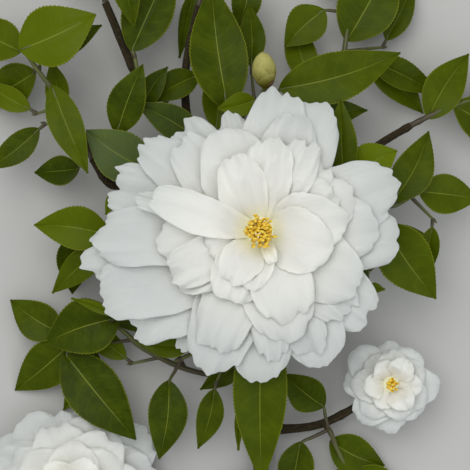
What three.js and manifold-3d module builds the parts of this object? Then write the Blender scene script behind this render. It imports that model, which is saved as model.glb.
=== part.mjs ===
// A cut flowering camellia branch, lying on a level surface with its large double bloom facing up.
// Millimetres, +Z up, +Y from the cut end towards the twig ends.
import * as THREE from 'three';
import { mergeVertices } from 'three/addons/utils/BufferGeometryUtils.js';
import Module from 'manifold-3d';

const wasm = await Module();
wasm.setup();

// Sizes shared by the whole branch
const NODE_GAP = 0.3;
const SKIN_TOLERANCE = 0.1;
const PETAL_THICKNESS = 0.82;
const LEAF_THICKNESS = 0.6;
const LEAF_FOLD = 0.22;
const LEAF_ARCH = 0.06;
const LEAF_LEAST_HALF_WIDTH = 0.35;
const LEAF_STALK_RADIUS = 0.55;
const SPRAY_STEM_RADIUS = 1.0;
const SPRAY_TIP_RADIUS = 0.6;
const SPRAY_STEM_SEGMENTS = 8;
const SPRAY_STEM_SIDES = 5;

// Colours of the five finishes
const BARK_COLOUR = 0x3a2a20;
const LEAF_COLOUR = 0x3f5218;
const PETAL_COLOUR = 0xf2f0e8;
const BUD_COLOUR = 0xc9c68a;

// Limbs: the path of the axis, and the radius at both ends
const LIMBS = {
  main_stem: {
    path: [[8, -91, 2.6], [8, -80, 2.6], [8, -60, 4], [7, -29, 7], [-2, -3, 9], [-14, 20, 9],
      [-26, 41, 11], [-31, 51, 13], [-39, 70, 16]],
    radii: [2.6, 1.2],
    segments: 22,
    sides: 8,
  },
  bough_top: {
    path: [[-12, 17, 9], [-14, 30, 11], [-15, 49, 14], [-11, 69, 15]],
    radii: [1.5, 1.1],
  },
  bough_left: {
    path: [[-17, 26, 9.4], [-27, 19, 11], [-37, 15, 13], [-43, 23, 15]],
    radii: [1.4, 1.2],
  },
  bough_right: {
    path: [[2, -14, 8.3], [18, 3, 10], [33, 19, 13], [43, 27, 14], [53, 33, 15]],
    radii: [1.6, 1.1],
  },
  bough_second: {
    path: [[8, -75, 3.4], [-17, -79, 4], [-40, -80, 4.5], [-48, -78, 7], [-49, -77, 10]],
    radii: [1.6, 1.2],
  },
  bough_lower_right: {
    path: [[8, -60, 4], [26, -58, 6], [41, -50, 6.5], [46, -46, 8.5], [47, -45, 11]],
    radii: [1.4, 0.9],
  },
  bloom_stalk: {
    path: [[-2, -3, 9], [3, -1, 15], [6, 1, 21], [7, 1, 27]],
    radii: [1.8, 1.5],
    segments: 5,
  },
};

// Masses of foliage: what carries each, the path of its stem, and its leaves as base, tip, width
const SPRAYS = {
  spray_top_left: {
    carrier: 'main_stem',
    path: [[-39, 70, 16], [-40, 78, 17], [-41, 85, 17], [-40, 93, 16]],
    leaves: [
      [[-35, 80, 21], [-30, 62, 22], 8],
      [[-41, 85, 18], [-53, 100, 8], 12],
      [[-40, 93, 16], [-32, 110, 0], 12],
      [[-40, 79, 18], [-58, 86, 6], 12],
    ],
  },
  spray_upper_left: {
    carrier: 'main_stem',
    path: [[-21, 33, 10.2], [-23, 37, 15], [-28, 45, 18], [-30, 53, 18]],
    leaves: [
      [[-31, 55, 18], [-19, 83, 12], 15],
      [[-35, 30, 24], [-27, 50, 29], 11],
      [[-28, 38, 20], [-20, 50, 22], 7],
      [[-11, 48, 17], [-25, 40, 17], 9],
      [[-10, 28, 20], [-29, 39, 24], 10],
    ],
  },
  spray_left: {
    carrier: 'bough_left',
    path: [[-43, 23, 15], [-49, 36, 17], [-58, 48, 20], [-63, 55, 20]],
    leaves: [
      [[-64, 55, 22], [-41, 65, 26], 18],
      [[-54, 44, 27], [-43, 18, 31], 10],
      [[-47, 20, 14], [-61, 19, 9], 9],
      [[-64, 55, 18], [-81, 65, 8], 13],
      [[-60, 49, 16], [-80, 42, 0], 13],
    ],
  },
  spray_bloom_left: {
    carrier: 'main_stem',
    path: [[-6, 5, 9], [-19, 8, 16], [-31, 9, 21], [-42, 1, 17]],
    leaves: [
      [[-25, 19, 24], [-44, 31, 25], 15],
      [[-37, 0, 23], [-60, 3, 19], 13],
      [[-34, 13, 29], [-38, 6, 28], 4],
      [[-48, 0, 12], [-50, -18, 4], 11],
    ],
  },
  spray_top: {
    carrier: 'main_stem',
    path: [[-8, 9, 9], [-4, 22, 17], [2, 35, 22], [7, 40, 25.5], [9, 43.6, 29.4]],
    bareRings: 2,
    leaves: [
      [[-2, 37, 26], [-7, 75, 20], 17],
      [[6, 39.5, 30], [-5, 37, 30], 7],
      [[13, 43, 26], [49, 54, 23], 15],
    ],
  },
  spray_crown: {
    carrier: 'bough_top',
    path: [[-11, 69, 15], [-9, 76, 16], [-6, 85, 16]],
    leaves: [
      [[-12, 75, 14], [-17, 54, 12], 5],
      [[5, 77, 12], [1, 62, 9], 9],
      [[-9, 82, 16], [-23, 98, 5], 14],
      [[-6, 85, 16], [2, 108, 0], 14],
    ],
  },
  spray_upper_right: {
    carrier: 'bough_right',
    path: [[33, 19, 13], [32, 38, 13], [33, 53, 11], [35, 68, 10], [38, 79, 9]],
    leaves: [
      [[27, 68, 14], [15, 57, 12], 12],
      [[34, 59, 10], [48, 85, 8], 18],
      [[41, 53, 13], [62, 43, 9], 9],
      [[36, 73, 9], [25, 92, 3], 14],
      [[38, 79, 9], [46, 99, 0], 12],
    ],
  },
  spray_right: {
    carrier: 'bough_right',
    path: [[53, 33, 15], [61, 37, 16], [71, 41, 14]],
    leaves: [
      [[58, 35, 16], [71, 55, 10], 12],
      [[66, 39, 15], [88, 32, 0], 13],
      [[71, 41, 14], [90, 50, 6], 12],
    ],
  },
  spray_bloom_right: {
    carrier: 'bough_right',
    path: [[18, 3, 10], [30, 8, 17], [41, 8, 21], [48, 9, 21], [55, 13, 20]],
    leaves: [
      [[32, 16, 28], [31, 40, 29], 9],
      [[35, 18, 25], [48, 25, 24], 12],
      [[47, 10, 22], [58, 31, 18], 12],
      [[44, 3, 26], [60, -19, 19], 16],
      [[39, -15, 29], [44, -16, 28], 3],
      [[55, 13, 20], [74, 11, 10], 12],
    ],
  },
  spray_lower: {
    carrier: 'main_stem',
    path: [[7, -29, 7], [4, -31, 15], [-6, -33, 19], [-16, -37, 17]],
    leaves: [
      [[8, -32, 28], [8, -75, 20], 17],
      [[1, -52, 16], [1, -65, 14], 2.4],
      [[-13, -33, 23], [-29, -32, 20], 7],
      [[-20, -44, 12], [-23, -68, 11], 12],
    ],
  },
  spray_lower_left: {
    carrier: 'main_stem',
    path: [[7, -43, 5.5], [-11, -42, 8], [-27, -35, 11], [-38, -27, 12], [-50, -33, 9]],
    leaves: [
      [[-35, -25, 14], [-58, -33, 9], 17],
      [[-35, -24, 22], [-49, -19, 18], 3],
      [[-52, -36, 8], [-30, -62, 12], 17],
      [[-50, -33, 8], [-68, -48, 0], 14],
      [[-53, -30, 9], [-69, -20, 4], 12],
    ],
  },
  spray_lower_right: {
    carrier: 'bough_lower_right',
    path: [[27, -57.5, 6], [29, -60, 10], [31, -65, 9], [35, -73, 5]],
    leaves: [
      [[27, -52, 12], [15, -42, 13], 11],
      [[29, -63, 7], [46, -71, 3], 12],
      [[34, -70, 6], [36, -90, 0], 12],
      [[20, -63, 9], [17, -82, 2], 11],
      [[35, -73, 5], [54, -82, 1], 12],
    ],
  },
};

// Petal shapes: rounding of the end, its power, depth of a notch, cup of the sides, fall of the tip
const PETAL_STYLES = {
  round: { rounding: 0.3, power: 3.2, notch: 0, cup: 0.18, fall: 1 },
  flat: { rounding: 0.28, power: 3.4, notch: 0, cup: 0.08, fall: 2 },
  notched: { rounding: 0.3, power: 2.8, notch: 0.12, cup: 0.15, fall: 1 },
  pointed: { rounding: 0.42, power: 1.7, notch: 0, cup: 0.2, fall: 1 },
  cupped: { rounding: 0.32, power: 2.4, notch: 0, cup: 0.3, fall: -1 },
  oval: { rounding: 0.42, power: 2.3, notch: 0, cup: 0.14, fall: 1.2 },
};

// Petals of the main bloom: direction in degrees, reach, width, height at the base and tip, shape
const OUTER_PETALS = [
  [17, 41, 26, 30, 38, 'round'], [-3, 41, 24, 30, 36, 'oval'], [-37, 41, 22, 30, 36, 'oval'],
  [-64, 43, 21, 30, 37, 'round'], [-88, 43, 21, 30, 38, 'round'], [-108, 42, 20, 30, 36, 'flat'],
  [-122, 40, 14, 29, 35, 'flat'], [-137, 46, 24, 29, 35, 'oval'], [-159, 51, 24, 30, 36, 'oval'],
  [-171, 51, 21, 31, 38, 'oval'], [180, 49, 21, 32, 39, 'oval'], [161, 44, 18, 31, 38, 'round'],
  [130, 37, 17, 31, 38, 'notched'], [97, 32, 14, 30, 37, 'flat'], [78, 40, 21, 31, 39, 'oval'],
  [57, 41, 20, 30, 38, 'round'], [34, 32, 13, 31, 38, 'pointed'],
];
const MIDDLE_PETALS = [
  [132, 33, 19, 34, 40.5, 'round'], [118, 33, 18, 34.5, 41, 'round'], [70, 34, 18, 33.5, 40, 'round'],
  [24, 30, 20, 34.5, 40.8, 'round'], [4, 34, 25, 33.5, 40, 'round'], [-26, 32, 20, 34, 40.5, 'round'],
  [-43, 34, 18, 34, 39.8, 'round'], [-76, 32, 23, 34.4, 41, 'round'], [-65, 38, 16, 33, 39, 'round'],
  [-84, 37, 16, 33, 39, 'pointed'], [-107, 36, 18, 33.4, 39.4, 'round'],
  [-149, 28, 20, 34.6, 40.8, 'round'], [187, 27, 18, 35, 41.2, 'round'],
];
const INNER_PETALS = [
  [55, 29, 17, 36.2, 42, 'round'], [204, 26, 18, 36, 42, 'round'], [80, 27, 14, 37, 42.8, 'round'],
  [13, 25, 20, 37, 42.8, 'round'], [-15, 20, 20, 37.6, 43.2, 'round'], [-67, 27, 20, 37, 42.8, 'notched'],
  [106, 23, 13, 37.8, 43.4, 'round'], [162, 31, 18, 37, 43.6, 'cupped'], [-124, 18, 14, 38, 43.8, 'cupped'],
];
const MAIN_BLOOM = { carrier: 'bloom_stalk', centre: [7, 1], calyx: 25, heart: 47, coreRadius: 7 };

// Blooms grown by rule: rings of petals as count, reach, width, height at the base and tip, shape
const RULED_BLOOMS = {
  bloom_second: {
    carrier: 'bough_second',
    centre: [-49, -77],
    calyx: 8,
    heart: 22,
    coreRadius: 5,
    seed: 41,
    rings: [
      [9, 27, 20, 11, 7, 'round'],
      [8, 20, 16, 14, 17, 'notched'],
      [6, 13, 11, 16, 23, 'cupped'],
    ],
  },
  bloom_right: {
    carrier: 'bough_lower_right',
    centre: [47, -45],
    calyx: 9.5,
    heart: 18,
    coreRadius: 3.5,
    seed: 7,
    rings: [
      [8, 14, 12, 12, 15, 'round'],
      [6, 9, 8, 14, 19, 'cupped'],
    ],
  },
};

// The bud beside the bloom: radii and places along its axis from base to tip
const BUD = {
  carrier: 'spray_top',
  base: [9, 43, 29],
  tip: [8, 53, 34],
  profile: [[0, 0], [1.6, 0.3], [2.7, 2], [3.5, 5], [3.3, 7.6], [2.1, 10], [0.8, 11.2], [0, 11.4]],
  sides: 10,
};

const UP = new THREE.Vector3(0, 0, 1);

// Numbers between 0 and 1 that follow from a seed
function seeded(seed) {
  let state = seed;
  return () => {
    state = (state * 1664525 + 1013904223) % 4294967296;
    return state / 4294967296;
  };
}

function toSolid(geometry) {
  const bare = geometry.index ? geometry.clone() : geometry;
  bare.deleteAttribute('uv');
  bare.deleteAttribute('normal');
  const merged = mergeVertices(bare, 1e-4);
  return new wasm.Manifold(new wasm.Mesh({
    numProp: 3,
    vertProperties: Float32Array.from(merged.attributes.position.array),
    triVerts: Uint32Array.from(merged.index.array),
  }));
}

function toGeometry(solid) {
  const mesh = solid.getMesh();
  const geometry = new THREE.BufferGeometry();
  geometry.setAttribute('position', new THREE.BufferAttribute(mesh.vertProperties, 3));
  geometry.setIndex(new THREE.BufferAttribute(mesh.triVerts, 1));
  geometry.computeVertexNormals();
  return geometry;
}

// The largest closed skin of a solid, which fills the small pockets shut in between its blades
function outerSkin(solid) {
  return solid.decompose().reduce((best, body) => (
    body.volume() > best.volume() ? body : best
  ));
}

function unite(solids) {
  return solids.reduce((whole, piece) => whole.add(piece));
}

// Moves every corner of a geometry to where a function of its own x, y, z puts it
function reshape(geometry, place) {
  const position = geometry.attributes.position;
  for (let i = 0; i < position.count; i += 1) {
    const point = place(position.getX(i), position.getY(i), position.getZ(i));
    position.setXYZ(i, point.x, point.y, point.z);
  }
  return geometry;
}

// A tapering round limb along a smooth path; extra widens it and runs past its ends
function limb({ path, radii, segments = 7, sides = 7 }, extra = 0) {
  const curve = new THREE.CatmullRomCurve3(path.map((point) => new THREE.Vector3(...point)));
  const steep = Math.abs(curve.getTangent(0.5).z) > 0.8;
  const reference = steep ? new THREE.Vector3(1, 0, 0) : UP;
  const tube = new THREE.CylinderGeometry(1, 1, 1, sides, segments);
  return toSolid(reshape(tube, (x, y, z) => {
    const t = Math.min(1, Math.max(0, y + 0.5));
    const tangent = curve.getTangent(t);
    const side = new THREE.Vector3().crossVectors(tangent, reference).normalize();
    const over = new THREE.Vector3().crossVectors(side, tangent);
    const radius = radii[0] + (radii[1] - radii[0]) * t + extra / Math.cos(Math.PI / sides);
    const past = t === 0 ? -extra : t === 1 ? extra : 0;
    return curve.getPoint(t)
      .addScaledVector(tangent, past)
      .addScaledVector(side, x * radius)
      .addScaledVector(over, z * radius);
  }));
}

// A thin closed blade over a surface that is a function of u (-1 to 1, across) and v (0 to 1, along)
function blade(surface, thickness, across, along) {
  const slab = new THREE.BoxGeometry(1, 1, 1, across, along, 1);
  const step = 0.02;
  return toSolid(reshape(slab, (x, y, z) => {
    const u = 2 * x;
    const v = y + 0.5;
    const uNear = Math.max(-1, u - step);
    const uFar = Math.min(1, u + step);
    const vNear = Math.max(0, v - step);
    const vFar = Math.min(1, v + step);
    const acrossWay = surface(uFar, v).sub(surface(uNear, v));
    const alongWay = surface(u, vFar).sub(surface(u, vNear));
    const normal = acrossWay.cross(alongWay).normalize();
    return surface(u, v).addScaledVector(normal, z * thickness);
  }));
}

// Half the width of a leaf along its length: full in the lower middle, drawn out to a point
function leafOutline(v) {
  return Math.sin(Math.PI * v ** 0.88) ** 0.85 * (1 - 0.2 * v ** 4);
}

function leafSurface([base, tip, width]) {
  const from = new THREE.Vector3(...base);
  const along = new THREE.Vector3(...tip).sub(from);
  const length = along.length();
  const side = new THREE.Vector3().crossVectors(along, UP).normalize();
  return (u, v) => {
    const half = Math.max(LEAF_LEAST_HALF_WIDTH, (width / 2) * leafOutline(v));
    const point = from.clone().addScaledVector(along, v).addScaledVector(side, u * half);
    point.z += LEAF_ARCH * length * Math.sin(Math.PI * v) + LEAF_FOLD * half * Math.abs(u);
    point.z = Math.max(point.z, LEAF_THICKNESS / 2);
    return point;
  };
}

// The stalk that joins a leaf to the nearest ring of the stem of its spray, past the first ones
// and short of the bare rings at its tip
function leafStalk(stemCurve, surface, bareRings) {
  const inBlade = surface(0, 0.16);
  const atBase = surface(0, 0.03);
  const places = stemCurve.getPoints(SPRAY_STEM_SEGMENTS).slice(2, SPRAY_STEM_SEGMENTS + 1 - bareRings);
  const nearest = places.reduce((best, place) => (
    place.distanceTo(atBase) < best.distanceTo(atBase) ? place : best
  ));
  const middle = nearest.clone().lerp(atBase, 0.5);
  return limb({
    path: [nearest, middle, atBase, inBlade].map((point) => point.toArray()),
    radii: [LEAF_STALK_RADIUS * 1.2, LEAF_STALK_RADIUS * 0.8],
    segments: 2,
    sides: 4,
  });
}

// The stem of a spray, written the way a limb is
function sprayStem({ path }) {
  return {
    path,
    radii: [SPRAY_STEM_RADIUS, SPRAY_TIP_RADIUS],
    segments: SPRAY_STEM_SEGMENTS,
    sides: SPRAY_STEM_SIDES,
  };
}

function spray({ path, leaves, bareRings = 0 }) {
  const curve = new THREE.CatmullRomCurve3(path.map((point) => new THREE.Vector3(...point)));
  const pieces = [limb(sprayStem({ path }))];
  for (const leaf of leaves) {
    const surface = leafSurface(leaf);
    pieces.push(blade(surface, LEAF_THICKNESS, 2, 4));
    pieces.push(leafStalk(curve, surface, bareRings));
  }
  return unite(pieces);
}

// A petal that leaves the core of a bloom in one direction
function petalSurface(centre, [direction, reach, width, baseHeight, tipHeight, styleName]) {
  const style = PETAL_STYLES[styleName];
  const angle = THREE.MathUtils.degToRad(direction);
  const out = new THREE.Vector3(Math.cos(angle), Math.sin(angle), 0);
  const side = new THREE.Vector3().crossVectors(out, UP);
  const start = 2;
  return (u, v) => {
    const half = (width / 2) * (0.3 + 0.7 * Math.sin(Math.min(1, v / 0.72) * (Math.PI / 2)));
    const ending = 1 - style.rounding * Math.abs(u) ** style.power
      - style.notch * v * Math.exp(-((u / 0.24) ** 2));
    const distance = start + (reach - start) * v * ending;
    const height = baseHeight + (tipHeight - baseHeight) * Math.sin(v * (Math.PI / 2))
      + style.cup * half * u * u * v - style.fall * v ** 4;
    return new THREE.Vector3(centre[0], centre[1], Math.max(height, PETAL_THICKNESS / 2))
      .addScaledVector(out, distance)
      .addScaledVector(side, u * half);
  };
}

// The squat body inside a bloom: calyx below, heart of stamens on top
function bloomCore({ centre, calyx, heart, coreRadius }) {
  const height = heart - calyx;
  const profile = [[0, 0], [0.45, 0.03], [0.85, 0.22], [1, 0.45], [0.9, 0.7], [0.55, 0.95], [0, 1]];
  const lathe = new THREE.LatheGeometry(
    profile.map(([radius, rise]) => new THREE.Vector2(radius * coreRadius, rise * height)),
    10,
  );
  lathe.rotateX(Math.PI / 2);
  lathe.translate(centre[0], centre[1], calyx);
  return toSolid(lathe);
}

function bloom(shape, petals, across, along) {
  const blades = petals.map((petal) => (
    blade(petalSurface(shape.centre, petal), PETAL_THICKNESS, across, along)
  ));
  return unite([bloomCore(shape), ...blades]);
}

function ruledPetals({ seed, rings }) {
  const random = seeded(seed);
  const petals = [];
  rings.forEach(([count, reach, width, baseHeight, tipHeight, style], ring) => {
    for (let i = 0; i < count; i += 1) {
      const direction = (360 / count) * (i + 0.5 * (ring % 2)) + 16 * (random() - 0.5);
      const length = reach * (0.9 + 0.2 * random());
      const lift = 2 * (random() - 0.5) + (i % 2);
      petals.push([direction, length, width, baseHeight, tipHeight + lift, style]);
    }
  });
  return petals;
}

function bud({ base, tip, profile, sides }) {
  const lathe = new THREE.LatheGeometry(
    profile.map(([radius, place]) => new THREE.Vector2(radius, place)),
    sides,
  );
  const axis = new THREE.Vector3(...tip).sub(new THREE.Vector3(...base)).normalize();
  lathe.applyQuaternion(new THREE.Quaternion().setFromUnitVectors(new THREE.Vector3(0, 1, 0), axis));
  lathe.translate(...base);
  return toSolid(lathe);
}

// Every solid of the branch, with the room that the next one keeps from it
const solids = {};
const rooms = {};
const finishes = {};

function keep(name, solid, finish, room) {
  solids[name] = outerSkin(solid.asOriginal().simplify(SKIN_TOLERANCE));
  finishes[name] = finish;
  if (room) {
    rooms[name] = room;
  }
}

for (const [name, shape] of Object.entries(LIMBS)) {
  const carrier = name === 'main_stem' ? null : rooms.main_stem;
  const whole = limb(shape);
  keep(name, carrier ? whole.subtract(carrier) : whole, 'bark', limb(shape, NODE_GAP));
}
for (const [name, shape] of Object.entries(SPRAYS)) {
  const room = name === BUD.carrier ? limb(sprayStem(shape), NODE_GAP) : null;
  keep(name, spray(shape).subtract(rooms[shape.carrier]), 'leaf', room);
}
keep('bud', bud(BUD).subtract(rooms[BUD.carrier]), 'bud');
const mainPetals = [...OUTER_PETALS, ...MIDDLE_PETALS, ...INNER_PETALS];
const mainBloom = bloom(MAIN_BLOOM, mainPetals, 4, 3).subtract(rooms[MAIN_BLOOM.carrier]);
keep('bloom_main', mainBloom, 'petal');
for (const [name, shape] of Object.entries(RULED_BLOOMS)) {
  const ruledBloom = bloom(shape, ruledPetals(shape), 2, 3).subtract(rooms[shape.carrier]);
  keep(name, ruledBloom, 'petal');
}

const colours = { bark: BARK_COLOUR, leaf: LEAF_COLOUR, petal: PETAL_COLOUR, bud: BUD_COLOUR };
const roughness = { bark: 0.85, leaf: 0.4, petal: 0.6, bud: 0.6 };
const group = new THREE.Group();
group.name = 'cut_camellia_branch';
const extent = new THREE.Box3();
for (const solid of Object.values(solids)) {
  const box = solid.boundingBox();
  extent.expandByPoint(new THREE.Vector3(...box.min));
  extent.expandByPoint(new THREE.Vector3(...box.max));
}
const middle = extent.getCenter(new THREE.Vector3());
const toOrigin = [-middle.x, -middle.y, -extent.min.z];
for (const [name, solid] of Object.entries(solids)) {
  const finish = finishes[name];
  const material = new THREE.MeshStandardMaterial({
    color: colours[finish],
    roughness: roughness[finish],
  });
  material.name = finish;
  const mesh = new THREE.Mesh(toGeometry(solid.translate(toOrigin)), material);
  mesh.name = name;
  group.add(mesh);
}

export default group;
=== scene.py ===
"""Dress the cut camellia branch: petals, stamens, leaves, twigs, bark and bud, in a plain studio."""

import logging
import math
from dataclasses import dataclass, field
from enum import Enum
from typing import Callable

import bpy
import numpy as np
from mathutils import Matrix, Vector


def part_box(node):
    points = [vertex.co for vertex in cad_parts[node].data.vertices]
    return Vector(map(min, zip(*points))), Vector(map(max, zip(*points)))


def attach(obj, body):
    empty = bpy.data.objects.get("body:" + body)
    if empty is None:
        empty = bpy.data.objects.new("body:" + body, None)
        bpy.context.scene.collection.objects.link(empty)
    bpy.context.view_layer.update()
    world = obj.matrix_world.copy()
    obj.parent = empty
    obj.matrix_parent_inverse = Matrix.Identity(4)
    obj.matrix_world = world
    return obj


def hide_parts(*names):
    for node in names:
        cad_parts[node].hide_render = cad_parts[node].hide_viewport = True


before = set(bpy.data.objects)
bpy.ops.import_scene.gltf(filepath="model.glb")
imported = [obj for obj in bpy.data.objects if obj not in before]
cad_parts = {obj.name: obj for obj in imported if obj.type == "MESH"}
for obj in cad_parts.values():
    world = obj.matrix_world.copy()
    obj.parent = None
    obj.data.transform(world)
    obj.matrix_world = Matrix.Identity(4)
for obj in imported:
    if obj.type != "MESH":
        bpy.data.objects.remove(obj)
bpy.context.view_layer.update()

LOG = logging.getLogger("camellia_branch")

# Millimetres of the branch's own layout become metres of the frame
MM = 0.001
LAYOUT_SHIFT = (-4.48, -2.40, 0.0)
ROOT_BODY = "root"

Surface = Callable[[np.ndarray, np.ndarray], np.ndarray]
Tone = Callable[[np.ndarray], np.ndarray]
Point = tuple[float, float, float]
Colour = tuple[float, float, float, float]

FULL_TURN = 2 * math.pi
UP = np.array([0.0, 0.0, 1.0])
RIGHT = np.array([1.0, 0.0, 0.0])
# A way whose rise is over this share of its length is steep
STEEP = 0.8
# Step of the numbers from which a slope is read
SLOPE_STEP = 1e-3
# Side veins to each half of a leaf, in its colour and in its shape
VEINS = 8.0


class Seeded:
    """Numbers between 0 and 1 that follow from a seed, by the rule that the solids use."""

    def __init__(self, seed: int) -> None:
        """Start the row of numbers at a seed."""
        self.state = seed

    def next(self) -> float:
        """Return the next number of the row."""
        self.state = (self.state * 1664525 + 1013904223) % 4294967296
        return self.state / 4294967296

    def within(self, least: float, more: float) -> float:
        """Return a number from the least up to as much more."""
        return least + more * self.next()

    def about(self, span: float) -> float:
        """Return a number from minus half to plus half a span."""
        return span * (self.next() - 0.5)


class SmoothPath:
    """A centripetal curve through points, run by a number from 0 to 1."""

    def __init__(self, points: list[Point]) -> None:
        """Keep the points that the curve goes through, in millimetres."""
        self.points = np.array(points, dtype=float)

    def at(self, t: float) -> np.ndarray:
        """Return the place at t.

        Args:
            t: 0 at the first point, 1 at the last.

        Returns:
            The place, in millimetres.
        """
        points = self.points
        last = len(points) - 1
        run = min(max(t, 0.0), 1.0) * last
        index = min(int(run), last - 1)
        weight = run - index
        here, ahead = points[index], points[index + 1]
        before = points[index - 1] if index > 0 else 2 * points[0] - points[1]
        after = points[index + 2] if index + 2 <= last else 2 * points[last] - points[last - 1]
        step0 = max(np.linalg.norm(here - before) ** 0.5, 1e-4)
        step1 = max(np.linalg.norm(ahead - here) ** 0.5, 1e-4)
        step2 = max(np.linalg.norm(after - ahead) ** 0.5, 1e-4)
        slope1 = (here - before) / step0 - (ahead - before) / (step0 + step1) + (ahead - here) / step1
        slope2 = (ahead - here) / step1 - (after - here) / (step1 + step2) + (after - ahead) / step2
        slope1, slope2 = slope1 * step1, slope2 * step1
        quadratic = -3 * here + 3 * ahead - 2 * slope1 - slope2
        cubic = 2 * here - 2 * ahead + slope1 + slope2
        return here + slope1 * weight + quadratic * weight ** 2 + cubic * weight ** 3

    def along(self, t: float) -> np.ndarray:
        """Return the direction of the curve at t, of length 1."""
        way = self.at(min(1.0, t + SLOPE_STEP)) - self.at(max(0.0, t - SLOPE_STEP))
        return way / np.linalg.norm(way)

    def places(self, count: int) -> np.ndarray:
        """Return places at even steps along the curve, with both ends."""
        return np.array([self.at(k / (count - 1)) for k in range(count)])


def reference_for(way: np.ndarray) -> np.ndarray:
    """Return a direction that lies well off a way of length 1."""
    return RIGHT if abs(way[2]) > STEEP else UP


def square_to(way: np.ndarray, reference: np.ndarray) -> tuple[np.ndarray, np.ndarray]:
    """Return two directions that are square to a way and to each other.

    Args:
        way: The way, of length 1.
        reference: A direction well off it.

    Returns:
        The direction to the side and the one over it, of length 1.
    """
    side = np.cross(way, reference)
    side /= np.linalg.norm(side)
    return side, np.cross(side, way)


@dataclass(frozen=True)
class Taper:
    """The radius of a round stalk or twig that thins evenly towards its end."""

    radius: float
    loss: float
    unevenness: float = 0.0
    scale: float = 1.0

    def __call__(self, t: float, angle: float) -> float:
        """Return the radius at t along and at an angle round, in millimetres."""
        plain = self.radius - self.loss * t
        return (plain + self.unevenness * math.sin(31 * t + 2 * angle)) * self.scale


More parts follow.
